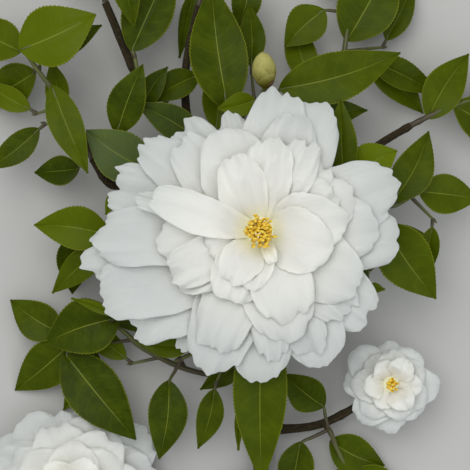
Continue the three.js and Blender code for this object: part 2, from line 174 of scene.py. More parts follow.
@dataclass
class MeshSheet:
    """Collects closed blades, tubes and turned forms in millimetres and makes them one object.

    The bark ring is the share of a sawn end's radius where the bark begins.
    """

    points: list[np.ndarray] = field(default_factory=list)
    faces: list[tuple[int, ...]] = field(default_factory=list)
    slots: list[int] = field(default_factory=list)
    run: list[np.ndarray] = field(default_factory=list)
    tone: list[np.ndarray] = field(default_factory=list)
    count: int = 0
    sharp_degrees: float = 50.0
    bark_ring: float = 0.87

    def _add(self, places: np.ndarray, run: np.ndarray, tone: float | Tone) -> int:
        """Add places with their pattern coordinates.

        Args:
            places: One row of x, y, z for each place.
            run: One row of across and along for each place.
            tone: A number that tells one blade's colour from the next, or a rule that gives it by place.

        Returns:
            The index of the first of them.
        """
        first = self.count
        self.points.append(places)
        self.run.append(run)
        self.tone.append(tone(places) if callable(tone) else np.full(len(places), tone))
        self.count += len(places)
        return first

    def _face(self, *corners: int, slot: int = 0) -> None:
        """Add one face with its material slot."""
        self.faces.append(corners)
        self.slots.append(slot)

    def blade(
        self, surface: Surface, across: np.ndarray, along: np.ndarray, thickness: float,
        tone: float | Tone = 0.0, under_slot: int = 0, rim: float = 1.0,
    ) -> None:
        """Add a thin closed blade over a surface.

        Args:
            surface: Gives the places for arrays of u (-1 to 1) and v (0 to 1).
            across: The values of u, rising.
            along: The values of v, rising.
            thickness: From skin to skin, in millimetres.
            tone: The blade's own tone.
            under_slot: Material slot of the lower skin.
            rim: Share of the thickness that is left at the sides and the tip.
        """
        u, v = np.meshgrid(across, along, indexing="ij")
        middle = surface(u, v)
        held = np.clip(u, -0.97, 0.97)
        du = surface(held + SLOPE_STEP, v) - surface(held - SLOPE_STEP, v)
        dv = surface(held, np.minimum(v + SLOPE_STEP, 1)) - surface(held, np.maximum(v - SLOPE_STEP, 0))
        normal = np.cross(du, dv)
        normal /= np.maximum(np.linalg.norm(normal, axis=2, keepdims=True), 1e-9)
        run = np.stack([(u + 1) / 2, v], axis=2).reshape(-1, 2)
        thinning = 1 - (1 - rim) * np.maximum(np.abs(u) ** 6, v ** 10)
        offset = normal * (thickness / 2 * thinning)[..., None]
        top = self._add((middle + offset).reshape(-1, 3), run, tone)
        low = self._add((middle - offset).reshape(-1, 3), run, tone)
        rows, columns = len(across), len(along)
        for i in range(rows - 1):
            for j in range(columns - 1):
                a, b = i * columns + j, (i + 1) * columns + j
                self._face(top + a, top + b, top + b + 1, top + a + 1)
                self._face(low + a, low + a + 1, low + b + 1, low + b, slot=under_slot)
        border = [i * columns for i in range(rows)]
        border += [(rows - 1) * columns + j for j in range(1, columns)]
        border += [i * columns + columns - 1 for i in range(rows - 2, -1, -1)]
        border += list(range(columns - 2, 0, -1))
        for a, b in zip(border, border[1:] + border[:1]):
            self._face(top + b, top + a, low + a, low + b, slot=under_slot)

    def tube(
        self, path: SmoothPath, radius: Callable[[float, float], float], rings: int, sides: int,
        sawn_slot: int | None = None,
    ) -> None:
        """Add a closed round limb along a path.

        Args:
            path: The axis.
            radius: Gives the radius at t along and at the angle round, in millimetres.
            rings: Number of rings along it.
            sides: Number of sides round it.
            sawn_slot: Material slot of the sawn face at its start, where it has one.
        """
        reference = reference_for(path.along(0.5))
        places, run = [], []
        for i in range(rings):
            t = i / (rings - 1)
            way, centre = path.along(t), path.at(t)
            side, over = square_to(way, reference)
            for k in range(sides):
                angle = FULL_TURN * k / sides
                reach = radius(t, angle)
                places.append(centre + side * math.sin(angle) * reach + over * math.cos(angle) * reach)
                run.append((k / sides, t))
        places.extend([path.at(0.0), path.at(1.0)])
        run.extend([(0.5, 0.0), (0.5, 1.0)])
        first = self._add(np.array(places), np.array(run), 0.0)
        for i in range(rings - 1):
            for k in range(sides):
                a, b = first + i * sides + k, first + i * sides + (k + 1) % sides
                self._face(a, b, b + sides, a + sides)
        foot, tip = first + rings * sides, first + rings * sides + 1
        last, face_ring = first + (rings - 1) * sides, first
        if sawn_slot is not None:
            centre = path.at(0.0)
            wood = [centre + (place - centre) * self.bark_ring for place in places[:sides]]
            face_ring = self._add(np.array(wood), np.array([(k / sides, 1.0) for k in range(sides)]), 0.0)
        for k in range(sides):
            after = (k + 1) % sides
            if face_ring != first:
                self._face(face_ring + after, first + after, first + k, face_ring + k)
            self._face(foot, face_ring + after, face_ring + k, slot=sawn_slot or 0)
            self._face(tip, last + k, last + after)

    def lathe(
        self, profile: list[tuple[float, float]], origin: Point, axis: Point, sides: int,
        tone: float | Tone = 0.0,
    ) -> None:
        """Add a turned closed form.

        Args:
            profile: Rows of radius and place along the axis; the first and last radius is 0.
            origin: Foot of the axis.
            axis: Its direction.
            sides: Number of sides round it.
            tone: The form's own tone.
        """
        way = np.array(axis, dtype=float)
        way /= np.linalg.norm(way)
        side, over = square_to(way, reference_for(way))
        foot = np.array(origin, dtype=float)
        length = profile[-1][1]
        places, run = [foot + way * profile[0][1]], [(0.5, 0.0)]
        for reach, place in profile[1:-1]:
            for k in range(sides):
                angle = FULL_TURN * k / sides
                places.append(foot + way * place + (side * math.sin(angle) + over * math.cos(angle)) * reach)
                run.append((k / sides, place / length))
        places.append(foot + way * length)
        run.append((0.5, 1.0))
        first = self._add(np.array(places), np.array(run), tone)
        rings = len(profile) - 2
        top = first + 1 + (rings - 1) * sides
        for k in range(sides):
            after = (k + 1) % sides
            self._face(first, first + 1 + after, first + 1 + k)
            self._face(first + 1 + rings * sides, top + k, top + after)
            for i in range(rings - 1):
                a, b = first + 1 + i * sides + k, first + 1 + i * sides + after
                self._face(a, b, b + sides, a + sides)

    def to_object(self, name: str, materials: list[bpy.types.Material]) -> bpy.types.Object:
        """Make the collected forms one smooth-shaded object in the frame.

        Args:
            name: Name of the piece.
            materials: One for each slot.

        Returns:
            The object, at the origin.
        """
        places = (np.concatenate(self.points) + np.array(LAYOUT_SHIFT)) * MM
        mesh = bpy.data.meshes.new(name)
        mesh.from_pydata(places.tolist(), [], self.faces)
        mesh.polygons.foreach_set("material_index", self.slots)
        mesh.polygons.foreach_set("use_smooth", [True] * len(self.faces))
        run = np.concatenate(self.run)
        corners = np.empty(len(mesh.loops), dtype=np.int32)
        mesh.loops.foreach_get("vertex_index", corners)
        layer = mesh.uv_layers.new(name="run")
        layer.data.foreach_set("uv", run[corners].astype(np.float32).ravel())
        shade = mesh.attributes.new(name="tone", type="FLOAT", domain="POINT")
        shade.data.foreach_set("value", np.concatenate(self.tone).astype(np.float32))
        mesh.set_sharp_from_angle(angle=math.radians(self.sharp_degrees))
        mesh.update()
        for material in materials:
            mesh.materials.append(material)
        made = bpy.data.objects.new(name, mesh)
        bpy.context.scene.collection.objects.link(made)
        return made


def declare(piece: bpy.types.Object, node: str | None = None) -> None:
    """Args:
        piece: The finished piece.
        node: The solid that it replaces, if any.
    """
    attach(piece, ROOT_BODY)
    if node:
        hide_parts(node)
    LOG.info("%s: %d faces", piece.name, len(piece.data.polygons))


class NodeWriter:
    """A short way to write a node tree."""

    def __init__(self, tree: bpy.types.NodeTree) -> None:
        """Keep the tree that is written."""
        self.tree = tree

    def new(self, kind: str) -> bpy.types.Node:
        """Return a new node of a kind."""
        return self.tree.nodes.new(kind)

    def put(self, socket: bpy.types.NodeSocket, value: object) -> None:
        """Link or set a socket.

        Args:
            socket: The input.
            value: Another node's output, a number or a colour.
        """
        if isinstance(value, bpy.types.NodeSocket):
            self.tree.links.new(value, socket)
        else:
            socket.default_value = value

    def fill(self, node: bpy.types.Node, *values: object) -> bpy.types.NodeSocket:
        """Put values into a node's first inputs.

        Args:
            node: The node.
            values: What goes into its inputs, in their order.

        Returns:
            The node's first output.
        """
        for index, value in enumerate(values):
            self.put(node.inputs[index], value)
        return node.outputs[0]

    def math(self, operation: str, *values: object) -> bpy.types.NodeSocket:
        """Return the output of a math node.

        Args:
            operation: Its operation.
            values: Its values or sockets.

        Returns:
            The output socket.
        """
        node = self.new("ShaderNodeMath")
        node.operation = operation
        return self.fill(node, *values)

    def times(self, first: object, second: object) -> bpy.types.NodeSocket:
        """Return the product of two values."""
        return self.math("MULTIPLY", first, second)

    def plus(self, first: object, second: object) -> bpy.types.NodeSocket:
        """Return the sum of two values."""
        return self.math("ADD", first, second)

    def minus(self, first: object, second: object) -> bpy.types.NodeSocket:
        """Return the first value less the second."""
        return self.math("SUBTRACT", first, second)

    def vector(self, x: object, y: object, z: object = 0.0) -> bpy.types.NodeSocket:
        """Return three values as a vector."""
        return self.fill(self.new("ShaderNodeCombineXYZ"), x, y, z)


class Shading(NodeWriter):
    """A short way to write one material's nodes."""

    def __init__(self, name: str) -> None:
        """Start a material with its principled shader.

        Args:
            name: Name of the material.
        """
        self.material = bpy.data.materials.new(name)
        self.material.use_nodes = True
        super().__init__(self.material.node_tree)
        self.tree.nodes.clear()
        output = self.new("ShaderNodeOutputMaterial")
        self.shader = self.new("ShaderNodeBsdfPrincipled")
        self.put(output.inputs["Surface"], self.shader.outputs["BSDF"])

    def base(self, **values: object) -> None:
        """Set the shader's inputs by name, with underscores for spaces."""
        for name, value in values.items():
            self.put(self.shader.inputs[name.replace("_", " ")], value)

    def ramp(
        self, value: object, low: float, high: float, start: float = 0.0, end: float = 1.0,
    ) -> bpy.types.NodeSocket:
        """Return a value moved smoothly from one range to another.

        Args:
            value: The value or socket.
            low: Where it starts.
            high: Where it ends.
            start: Result at the start.
            end: Result at the end.

        Returns:
            The output socket.
        """
        node = self.new("ShaderNodeMapRange")
        node.interpolation_type = "SMOOTHSTEP"
        return self.fill(node, value, low, high, start, end)

    def mix(self, share: object, first: object, second: object) -> bpy.types.NodeSocket:
        """Return a mix of two colours.

        Args:
            share: How much of the second.
            first: First colour or socket.
            second: Second colour or socket.

        Returns:
            The output socket.
        """
        node = self.new("ShaderNodeMix")
        node.data_type = "RGBA"
        self.put(node.inputs[0], share)
        self.put(node.inputs[6], first)
        self.put(node.inputs[7], second)
        return node.outputs[2]

    def run(self) -> tuple[bpy.types.NodeSocket, bpy.types.NodeSocket]:
        """Read the piece's own pattern map.

        Returns:
            The sockets of the coordinates across and along.
        """
        node = self.new("ShaderNodeUVMap")
        node.uv_map = "run"
        parts = self.new("ShaderNodeSeparateXYZ")
        self.put(parts.inputs[0], node.outputs[0])
        return parts.outputs[0], parts.outputs[1]

    def tone(self) -> bpy.types.NodeSocket:
        """Read the tone that the piece's mesh carries.

        Returns:
            The output socket.
        """
        node = self.new("ShaderNodeAttribute")
        node.attribute_name = "tone"
        return node.outputs["Fac"]

    def place(self) -> bpy.types.NodeSocket:
        """Return the piece's Object coordinates."""
        return self.new("ShaderNodeTexCoord").outputs["Object"]

    def noise(
        self, where: object, scale: float, detail: float = 3.0, roughness: float = 0.5,
    ) -> bpy.types.NodeSocket:
        """Return a noise value.

        Args:
            where: The vector it is read at.
            scale: Its scale.
            detail: Its octaves.
            roughness: How strong the fine octaves are.

        Returns:
            The output socket.
        """
        node = self.new("ShaderNodeTexNoise")
        self.put(node.inputs["Vector"], where)
        node.inputs["Scale"].default_value = scale
        node.inputs["Detail"].default_value = detail
        node.inputs["Roughness"].default_value = roughness
        return node.outputs[0]

    def relief(self, height: object, depth_mm: float) -> None:
        """Give the shader a bump.

        Args:
            height: Height, 0 to 1.
            depth_mm: What a height of 1 stands for, in millimetres.
        """
        node = self.new("ShaderNodeBump")
        node.inputs["Distance"].default_value = depth_mm * MM
        node.inputs["Strength"].default_value = 1.0
        self.put(node.inputs["Height"], height)
        self.put(self.shader.inputs["Normal"], node.outputs[0])


@dataclass(frozen=True)
class PetalFinish:
    """White petal: painted grey shade at the bloom's rim, creamy inward and pale yellow beside the stamens.
    """

    # Painted shade: the outer petals get this grey, darker than the white inner ones, instead of being lit
    # less
    rim: Colour = (0.61, 0.64, 0.625, 1)
    white: Colour = (0.91, 0.91, 0.835, 1)
    yellow: Colour = (0.91, 0.85, 0.40, 1)
    glow: float = 0.45
    glow_depth: float = 0.0015
    roughness: float = 0.52
    mottle_scale: float = 180.0
    grain: float = 1500.0
    vein_fan: float = 24.0
    depth_mm: float = 0.18

    def build(self, name: str) -> bpy.types.Material:
        """Return the finished material.

        Args:
            name: Name of the material.

        Returns:
            The material.
        """
        sheet = Shading(name)
        across, along = sheet.run()
        inward = sheet.tone()
        mottle = sheet.noise(sheet.place(), self.mottle_scale, 3.0)
        # Painted shade: the petals turn from white to the grey rim colour towards the bloom's rim
        colour = sheet.mix(sheet.ramp(inward, 0.0, 0.7), self.rim, self.white)
        colour = sheet.mix(sheet.ramp(inward, 0.80, 1.0, 0.0, 0.85), colour, self.yellow)
        colour = sheet.mix(sheet.times(mottle, 0.10), colour, self.rim)
        fan = sheet.vector(sheet.times(across, self.vein_fan), sheet.times(along, 2.0))
        veins = sheet.noise(fan, 1.0, 4.0)
        fine = sheet.noise(sheet.place(), self.grain, 2.0)
        sheet.relief(sheet.plus(sheet.times(veins, 0.8), sheet.times(fine, 0.2)), self.depth_mm)
        sheet.base(
            Base_Color=colour,
            Roughness=sheet.ramp(mottle, 0.3, 0.7, self.roughness - 0.06, self.roughness + 0.08),
            Subsurface_Weight=self.glow,
            Subsurface_Radius=(1.0, 1.0, 0.95),
            Subsurface_Scale=self.glow_depth,
            Specular_IOR_Level=0.3,
        )
        return sheet.material


@dataclass(frozen=True)
class LeafFinish:
    """Glossy leaf with a light midrib, curved side veins, a pale toothed edge, and painted grey sheen on
    greyer tones.
    """

    # Painted sheen: leaves with a tone below 0 get this grey-green for the sky that they reflect
    painted_sheen_grey: Colour = (0.075, 0.108, 0.034, 1)
    deep: Colour = (0.026, 0.041, 0.0006, 1)
    fresh: Colour = (0.108, 0.150, 0.0015, 1)
    rib: Colour = (0.20, 0.235, 0.03, 1)
    edge: Colour = (0.22, 0.24, 0.012, 1)
    gloss: float = 0.32
    sheen: float = 0.06
    mottle_scale: float = 160.0
    dimple_scale: float = 420.0
    cell_scale: float = 2400.0
    depth_mm: float = 0.14

    def build(self, name: str) -> bpy.types.Material:
        """Return the finished material.

        Args:
            name: Name of the material.

        Returns:
            The material.
        """
        sheet = Shading(name)
        across, along = sheet.run()
        off = sheet.math("ABSOLUTE", sheet.minus(sheet.times(across, 2.0), 1.0))
        arch = sheet.times(sheet.math("POWER", off, 3.0), 0.10)
        swept = sheet.minus(along, sheet.plus(sheet.times(off, 0.07), arch))
        phase = sheet.math("FRACT", sheet.times(swept, VEINS))
        vein = sheet.ramp(sheet.math("ABSOLUTE", sheet.minus(phase, 0.5)), 0.02, 0.10, 1.0, 0.0)
        vein = sheet.times(vein, sheet.ramp(off, 0.75, 0.95, 1.0, 0.0))
        slender = sheet.minus(1.0, sheet.times(along, 0.65))
        rib = sheet.ramp(sheet.math("DIVIDE", off, slender), 0.012, 0.040, 1.0, 0.0)
        edge = sheet.ramp(off, 0.955, 0.985)
        mottle = sheet.noise(sheet.place(), self.mottle_scale, 4.0, 0.6)
        # Painted sheen: a tone below 0 turns the leaf towards the grey of reflected sky
        colour = sheet.mix(sheet.ramp(sheet.tone(), -1.0, 0.0), self.painted_sheen_grey, self.deep)
        colour = sheet.mix(sheet.ramp(sheet.tone(), 0.0, 1.0), colour, self.fresh)
        colour = sheet.mix(sheet.ramp(mottle, 0.35, 0.75, 0.0, 0.30), colour, self.fresh)
        colour = sheet.mix(sheet.times(vein, 0.05), colour, self.rib)
        colour = sheet.mix(sheet.times(edge, 0.45), colour, self.edge)
        colour = sheet.mix(sheet.times(rib, 0.75), colour, self.rib)
        height = sheet.times(sheet.noise(sheet.place(), self.cell_scale, 2.0), 0.12)
        height = sheet.plus(height, sheet.times(sheet.minus(1.0, vein), 0.12))
        height = sheet.plus(height, sheet.times(sheet.noise(sheet.place(), self.dimple_scale, 2.0), 0.4))
        sheet.relief(height, self.depth_mm)
        sheet.base(
            Base_Color=colour,
            Roughness=sheet.ramp(mottle, 0.2, 0.8, self.gloss - 0.05, self.gloss + 0.10),
            Specular_IOR_Level=self.sheen,
        )
        return sheet.material


@dataclass(frozen=True)
class WoodFinish:
    """Dark bark with fine lengthwise cracks and paler flecks."""

    dark: Colour = (0.020, 0.014, 0.008, 1)
    light: Colour = (0.058, 0.044, 0.020, 1)
    fleck: Colour = (0.11, 0.09, 0.05, 1)
    roughness: float = 0.8
    girth: float = 2.2
    stretch: float = 14.0
    crack_scale: float = 2.6
    fleck_scale: float = 900.0
    depth_mm: float = 0.5

    def build(self, name: str) -> bpy.types.Material:
        """Return the finished material.

        Args:
            name: Name of the material.

        Returns:
            The material.
        """
        sheet = Shading(name)
        across, along = sheet.run()
        turn = sheet.times(across, FULL_TURN)
        ring = sheet.vector(
            sheet.times(sheet.math("SINE", turn), self.girth),
            sheet.times(sheet.math("COSINE", turn), self.girth),
            sheet.times(along, self.stretch),
        )
        cracks = sheet.noise(ring, self.crack_scale, 6.0, 0.65)
        flecks = sheet.noise(sheet.place(), self.fleck_scale, 3.0, 0.6)
        colour = sheet.mix(sheet.ramp(cracks, 0.35, 0.68), self.dark, self.light)
        colour = sheet.mix(sheet.ramp(flecks, 0.60, 0.70, 0.0, 0.6), colour, self.fleck)
        sheet.relief(sheet.plus(sheet.times(cracks, 0.7), sheet.times(flecks, 0.3)), self.depth_mm)
        sheet.base(
            Base_Color=colour,
            Roughness=sheet.ramp(flecks, 0.3, 0.7, self.roughness - 0.1, self.roughness + 0.1),
            Specular_IOR_Level=0.15,
        )
        return sheet.material


@dataclass(frozen=True)
class TwoToneFinish:
    """A soft plant skin that goes from one colour at the foot to another at the tip.

    It follows each form's own length, and by a share the tone that the mesh carries.
    """

    foot: Colour = (0.2, 0.2, 0.05, 1)
    tip: Colour = (0.4, 0.4, 0.1, 1)
    turn: tuple[float, float] = (0.2, 0.8)
    roughness: float = 0.5
    depth_mm: float = 0.1
    grain: float = 900.0
    patch: float = 0.25
    shine: float = 0.5
    by_tone: float = 0.0

    def build(self, name: str) -> bpy.types.Material:
        """Return the finished material.

        Args:
            name: Name of the material.

        Returns:
            The material.
        """
        sheet = Shading(name)
        _, along = sheet.run()
        if self.by_tone:
            own = sheet.times(along, 1 - self.by_tone)
            along = sheet.plus(own, sheet.times(sheet.tone(), self.by_tone))
        mottle = sheet.noise(sheet.place(), self.grain, 3.0)
        shift = sheet.plus(along, sheet.times(sheet.minus(mottle, 0.5), self.patch))
        colour = sheet.mix(sheet.ramp(shift, *self.turn), self.foot, self.tip)
        sheet.relief(mottle, self.depth_mm)
        sheet.base(
            Base_Color=colour,
            Roughness=sheet.ramp(mottle, 0.3, 0.7, self.roughness - 0.06, self.roughness + 0.06),
            Specular_IOR_Level=self.shine,
        )
        return sheet.material


@dataclass(frozen=True)
class FloorFinish:
    """The studio floor: pale and matt, with a barely uneven surface."""

    colour: Colour = (0.50, 0.50, 0.49, 1)
    grain: float = 300.0
    depth_mm: float = 0.05

    def build(self, name: str) -> bpy.types.Material:
        """Return the finished material.

        Args:
            name: Name of the material.

        Returns:
            The material.
        """
        sheet = Shading(name)
        sheet.relief(sheet.noise(sheet.place(), self.grain, 2.0), self.depth_mm)
        sheet.base(Base_Color=self.colour, Roughness=0.9, Specular_IOR_Level=0.2)
        return sheet.material


class Finishes:
    """The branch's materials, made once."""

    def __init__(self) -> None:
        """Build every finish."""
        self.petal = PetalFinish().build("petal")
        self.leaf = LeafFinish().build("leaf_upper")
        self.leaf_under = LeafFinish(
            deep=(0.075, 0.100, 0.018, 1), fresh=(0.13, 0.165, 0.025, 1), rib=(0.22, 0.25, 0.06, 1),
            gloss=0.55,
        ).build("leaf_under")
        self.bark = WoodFinish().build("bark")
        self.cut = TwoToneFinish(
            foot=(0.40, 0.30, 0.16, 1), tip=(0.52, 0.42, 0.25, 1), turn=(0.1, 0.95), roughness=0.75,
            grain=1800.0, shine=0.2,
        ).build("cut_wood")
        self.young_stem = TwoToneFinish(
            foot=(0.045, 0.032, 0.014, 1), tip=(0.085, 0.10, 0.016, 1), turn=(0.1, 0.9),
            roughness=0.5,
        ).build("young_stem")
        self.bud = TwoToneFinish(
            foot=(0.105, 0.092, 0.001, 1), tip=(0.41, 0.385, 0.125, 1), turn=(0.12, 1.0), roughness=0.5,
            patch=0.3, shine=0.12, by_tone=0.68,
        ).build("bud_scale")
        self.sepal = TwoToneFinish(
            foot=(0.095, 0.085, 0.001, 1), tip=(0.37, 0.35, 0.09, 1), turn=(0.42, 0.92), shine=0.12,
        ).build("sepal")
        self.brown_scale = TwoToneFinish(
            foot=(0.10, 0.058, 0.032, 1), tip=(0.16, 0.095, 0.05, 1), roughness=0.6, shine=0.2,
        ).build("dry_scale")
        self.filament = TwoToneFinish(
            foot=(0.88, 0.74, 0.24, 1), tip=(0.88, 0.60, 0.07, 1), roughness=0.5, depth_mm=0.02,
        ).build("filament")
        self.heart = TwoToneFinish(
            foot=(0.86, 0.86, 0.66, 1), tip=(0.93, 0.76, 0.20, 1), turn=(0.72, 1.0), depth_mm=0.03,
            shine=0.3,
        ).build("heart_skin")
        self.anther = TwoToneFinish(
            foot=(0.66, 0.38, 0.012, 1), tip=(0.88, 0.67, 0.10, 1), turn=(0.62, 1.1),
            roughness=0.75, depth_mm=0.15, grain=1100.0, patch=1.6, shine=0.2,
        ).build("anther")
        self.style = TwoToneFinish(
            foot=(0.75, 0.62, 0.20, 1), tip=(0.88, 0.82, 0.55, 1), turn=(0.6, 0.95), depth_mm=0.02,
        ).build("style")
        self.floor = FloorFinish().build("studio_floor")


@dataclass(frozen=True)
class PetalShape:
    """How a petal ends and bends; a rounding of 1 is an end as round as the petal is wide."""

    rounding: float
    power: float
    notch: float
    cup: float
    fall: float
    crinkle: float = 1.0


class PetalStyle(Enum):
    """The kinds of petal on the blooms."""

    ROUND = PetalShape(1.10, 2.2, 0.0, 0.08, 1.0)
    FLAT = PetalShape(0.85, 2.6, 0.0, 0.05, 2.0)
    NOTCHED = PetalShape(1.00, 2.3, 0.06, 0.08, 1.0)
    POINTED = PetalShape(2.20, 1.6, 0.0, 0.10, 1.0)
    CUPPED = PetalShape(1.25, 2.1, 0.0, 0.18, -0.6)
    CRINKLED = PetalShape(1.05, 2.3, 0.04, 0.08, 0.8, 2.3)


@dataclass(frozen=True)
class PetalFolds:
    """One petal's folds, waves and torn rim, in millimetres of height where not a share."""

    phase: list[float]
    ruffle: float
    crease: float
    pleat: float
    pleats: float
    torn: float
    oblique: float
    bow: float

    @classmethod
    def seeded(cls, seed: int, crinkle: float) -> "PetalFolds":
        """Draw the folds by a seed.

        Args:
            seed: Tells the petal's folds from the next one's.
            crinkle: How much stronger than plain they are.

        Returns:
            The folds.
        """
        random = Seeded(seed * 7919 + 13)
        return cls(
            phase=[random.next() * FULL_TURN for _ in range(6)],
            ruffle=random.within(0.30, 0.45) * (0.5 + 0.5 * crinkle),
            crease=random.within(0.15, 0.35),
            pleat=random.within(0.16, 0.26) * crinkle,
            pleats=random.within(7.0, 6.0),
            torn=random.within(0.7, 1.3),
            oblique=random.about(0.14),
            bow=random.about(0.05),
        )

    def rim(self, u: np.ndarray, v: np.ndarray) -> np.ndarray:
        """Return how far the torn rim stands out, as a share of the petal's length.

        Args:
            u: Places across, -1 to 1.
            v: Places along, 0 to 1.

        Returns:
            The share at each place.
        """
        phase = self.phase
        return (
            np.sin(5 * u + phase[0]) * 0.012 + np.sin(14 * u + phase[1]) * 0.006
            + np.sin(23 * u + phase[2]) * 0.0025 + np.sin(33 * u + phase[3]) * 0.0015
            - np.abs(np.sin(3.5 * u + phase[5])) ** 14 * 0.018
        ) * self.torn * v ** 6

    def lift(self, u: np.ndarray, v: np.ndarray) -> np.ndarray:
        """Return how far the waves, the middle crease and the pleats lift the petal.

        Args:
            u: Places across, -1 to 1.
            v: Places along, 0 to 1.

        Returns:
            The height at each place, in millimetres.
        """
        phase, ruffle = self.phase, self.ruffle
        waves = ruffle * np.sin(3.4 * u + phase[3]) * v ** 3
        waves = waves + 0.45 * ruffle * np.sin(8 * u + phase[4] + 2 * v) * v ** 5
        waves = waves + 0.24 * ruffle * np.sin(21 * u + phase[2] + 3 * v) * v ** 8
        crease = self.crease * np.exp(-((u / 0.16) ** 2)) * v * v
        return waves - crease + self.pleat * np.cos(self.pleats * u + phase[0]) * v * (1 - 0.35 * v)


@dataclass(frozen=True)
class Petal:
    """One petal: its direction in degrees, sizes and heights in millimetres, and its kind."""

    direction: float
    reach: float
    width: float
    base: float
    tip: float
    style: PetalStyle
    lean: float = 0.06
    start: float = 2.0
    least_height: float = 0.4

    def level(self) -> float:
        """Return how high the petal lies, for its turn on the pile."""
        return self.base + self.tip

    def surface(self, centre: tuple[float, float], seed: int, fullness: float = 1.0) -> Surface:
        """Return the petal's middle surface.

        Args:
            centre: Plan position of the bloom's axis.
            seed: Tells the petal's ruffles from the next one's.
            fullness: How much wider the soft petal is than its solid.

        Returns:
            The surface, in millimetres.
        """
        shape = self.style.value
        folds = PetalFolds.seeded(seed, shape.crinkle)
        angle = math.radians(self.direction)
        out = np.array([math.cos(angle), math.sin(angle), 0.0])
        side = np.array([math.sin(angle), -math.cos(angle), 0.0])
        base = np.array([centre[0], centre[1], 0.0])
        bluntness = self.width / 2 * fullness / self.reach

        def place(u: np.ndarray, v: np.ndarray) -> np.ndarray:
            """Return the places of the petal's middle surface.

            Args:
                u: Places across, -1 to 1.
                v: Places along, 0 to 1.

            Returns:
                Rows of x, y, z in millimetres.
            """
            size = np.abs(u)
            # A narrow foot, then wavy sides
            half = self.width / 2 * (0.4 + 0.6 * np.sin(np.minimum(1, v / 0.72) * math.pi / 2))
            half = half * fullness * (1 - 0.10 * v ** 7)
            waver = 0.030 * np.sin(11 * v + folds.phase[4]) + 0.014 * np.sin(27 * v + folds.phase[1])
            half = half * (1 + waver * v)
            # The end: round, notched or pointed, set a little aslant
            bend = 0.62 * size ** shape.power + 0.24 * size ** 10
            ending = 1 - shape.rounding * bluntness * bend + folds.oblique * u * size + folds.rim(u, v)
            ending = ending - shape.notch * v * np.exp(-((u / 0.24) ** 2))
            distance = self.start + (self.reach - self.start) * v * ending
            # The height: rising, cupped across, falling at the tip, with the folds on top
            height = self.base + (self.tip - self.base) * np.sin(v * math.pi / 2)
            height = height + shape.cup * half * u * u * v - shape.fall * v ** 4
            height = height - self.lean * half * u * v + folds.lift(u, v)
            height = height - 0.3 * size ** 8 * v - 0.45 * v ** 14
            height = np.maximum(height, self.least_height)
            aside = u * half + folds.bow * self.reach * v * v
            return base + out * distance[..., None] + side * aside[..., None] + UP * height[..., None]

        return place


def edge_steps(count: int, band: float) -> np.ndarray:
    """Return even steps from -1 to 1 with a narrow band at both ends."""
    inner = np.linspace(-1 + band, 1 - band, count)
    return np.concatenate([[-1.0], inner, [1.0]])


def round_steps(count: int) -> np.ndarray:
    """Return steps from -1 to 1 that lie closer towards both ends."""
    return np.sin(np.linspace(-1, 1, count) * math.pi / 2)


ROUND, FLAT, NOTCHED = PetalStyle.ROUND, PetalStyle.FLAT, PetalStyle.NOTCHED
POINTED, CUPPED, CRINKLED = PetalStyle.POINTED, PetalStyle.CUPPED, PetalStyle.CRINKLED


def petal_rows(rows: list[tuple]) -> list[Petal]:
    """Return petals from rows of their values."""
    return [Petal(*row) for row in rows]


@dataclass
class Room:
    """The places that are filled already, so that each further leaf keeps clear of them."""

    taken: list[tuple[np.ndarray, np.ndarray, np.ndarray]] = field(default_factory=list)

    def fill(self, places: np.ndarray) -> None:
        """Note filled places, as rows of x, y, z in millimetres."""
        rows = places.reshape(-1, 3)
        self.taken.append((rows, rows.min(axis=0), rows.max(axis=0)))

    def is_free(self, places: np.ndarray, gap: float) -> bool:
        """Tell whether places lie further than a gap from all that is filled.

        Args:
            places: Rows of x, y, z in millimetres.
            gap: The least distance.

        Returns:
            True where they do.
        """
        rows = places.reshape(-1, 3)
        low, high = rows.min(axis=0) - gap, rows.max(axis=0) + gap
        for other, least, most in self.taken:
            if (most < low).any() or (least > high).any():
                continue
            if np.linalg.norm(other[:, None] - rows[None], axis=2).min() < gap:
                return False
        return True


def sample(surface: Surface, across: int = 7, along: int = 15) -> np.ndarray:
    """Return rows of x, y, z spread over a surface, by how many across and along it."""
    u, v = np.meshgrid(np.linspace(-1, 1, across), np.linspace(0.05, 1, along), indexing="ij")
    return surface(u, v).reshape(-1, 3)


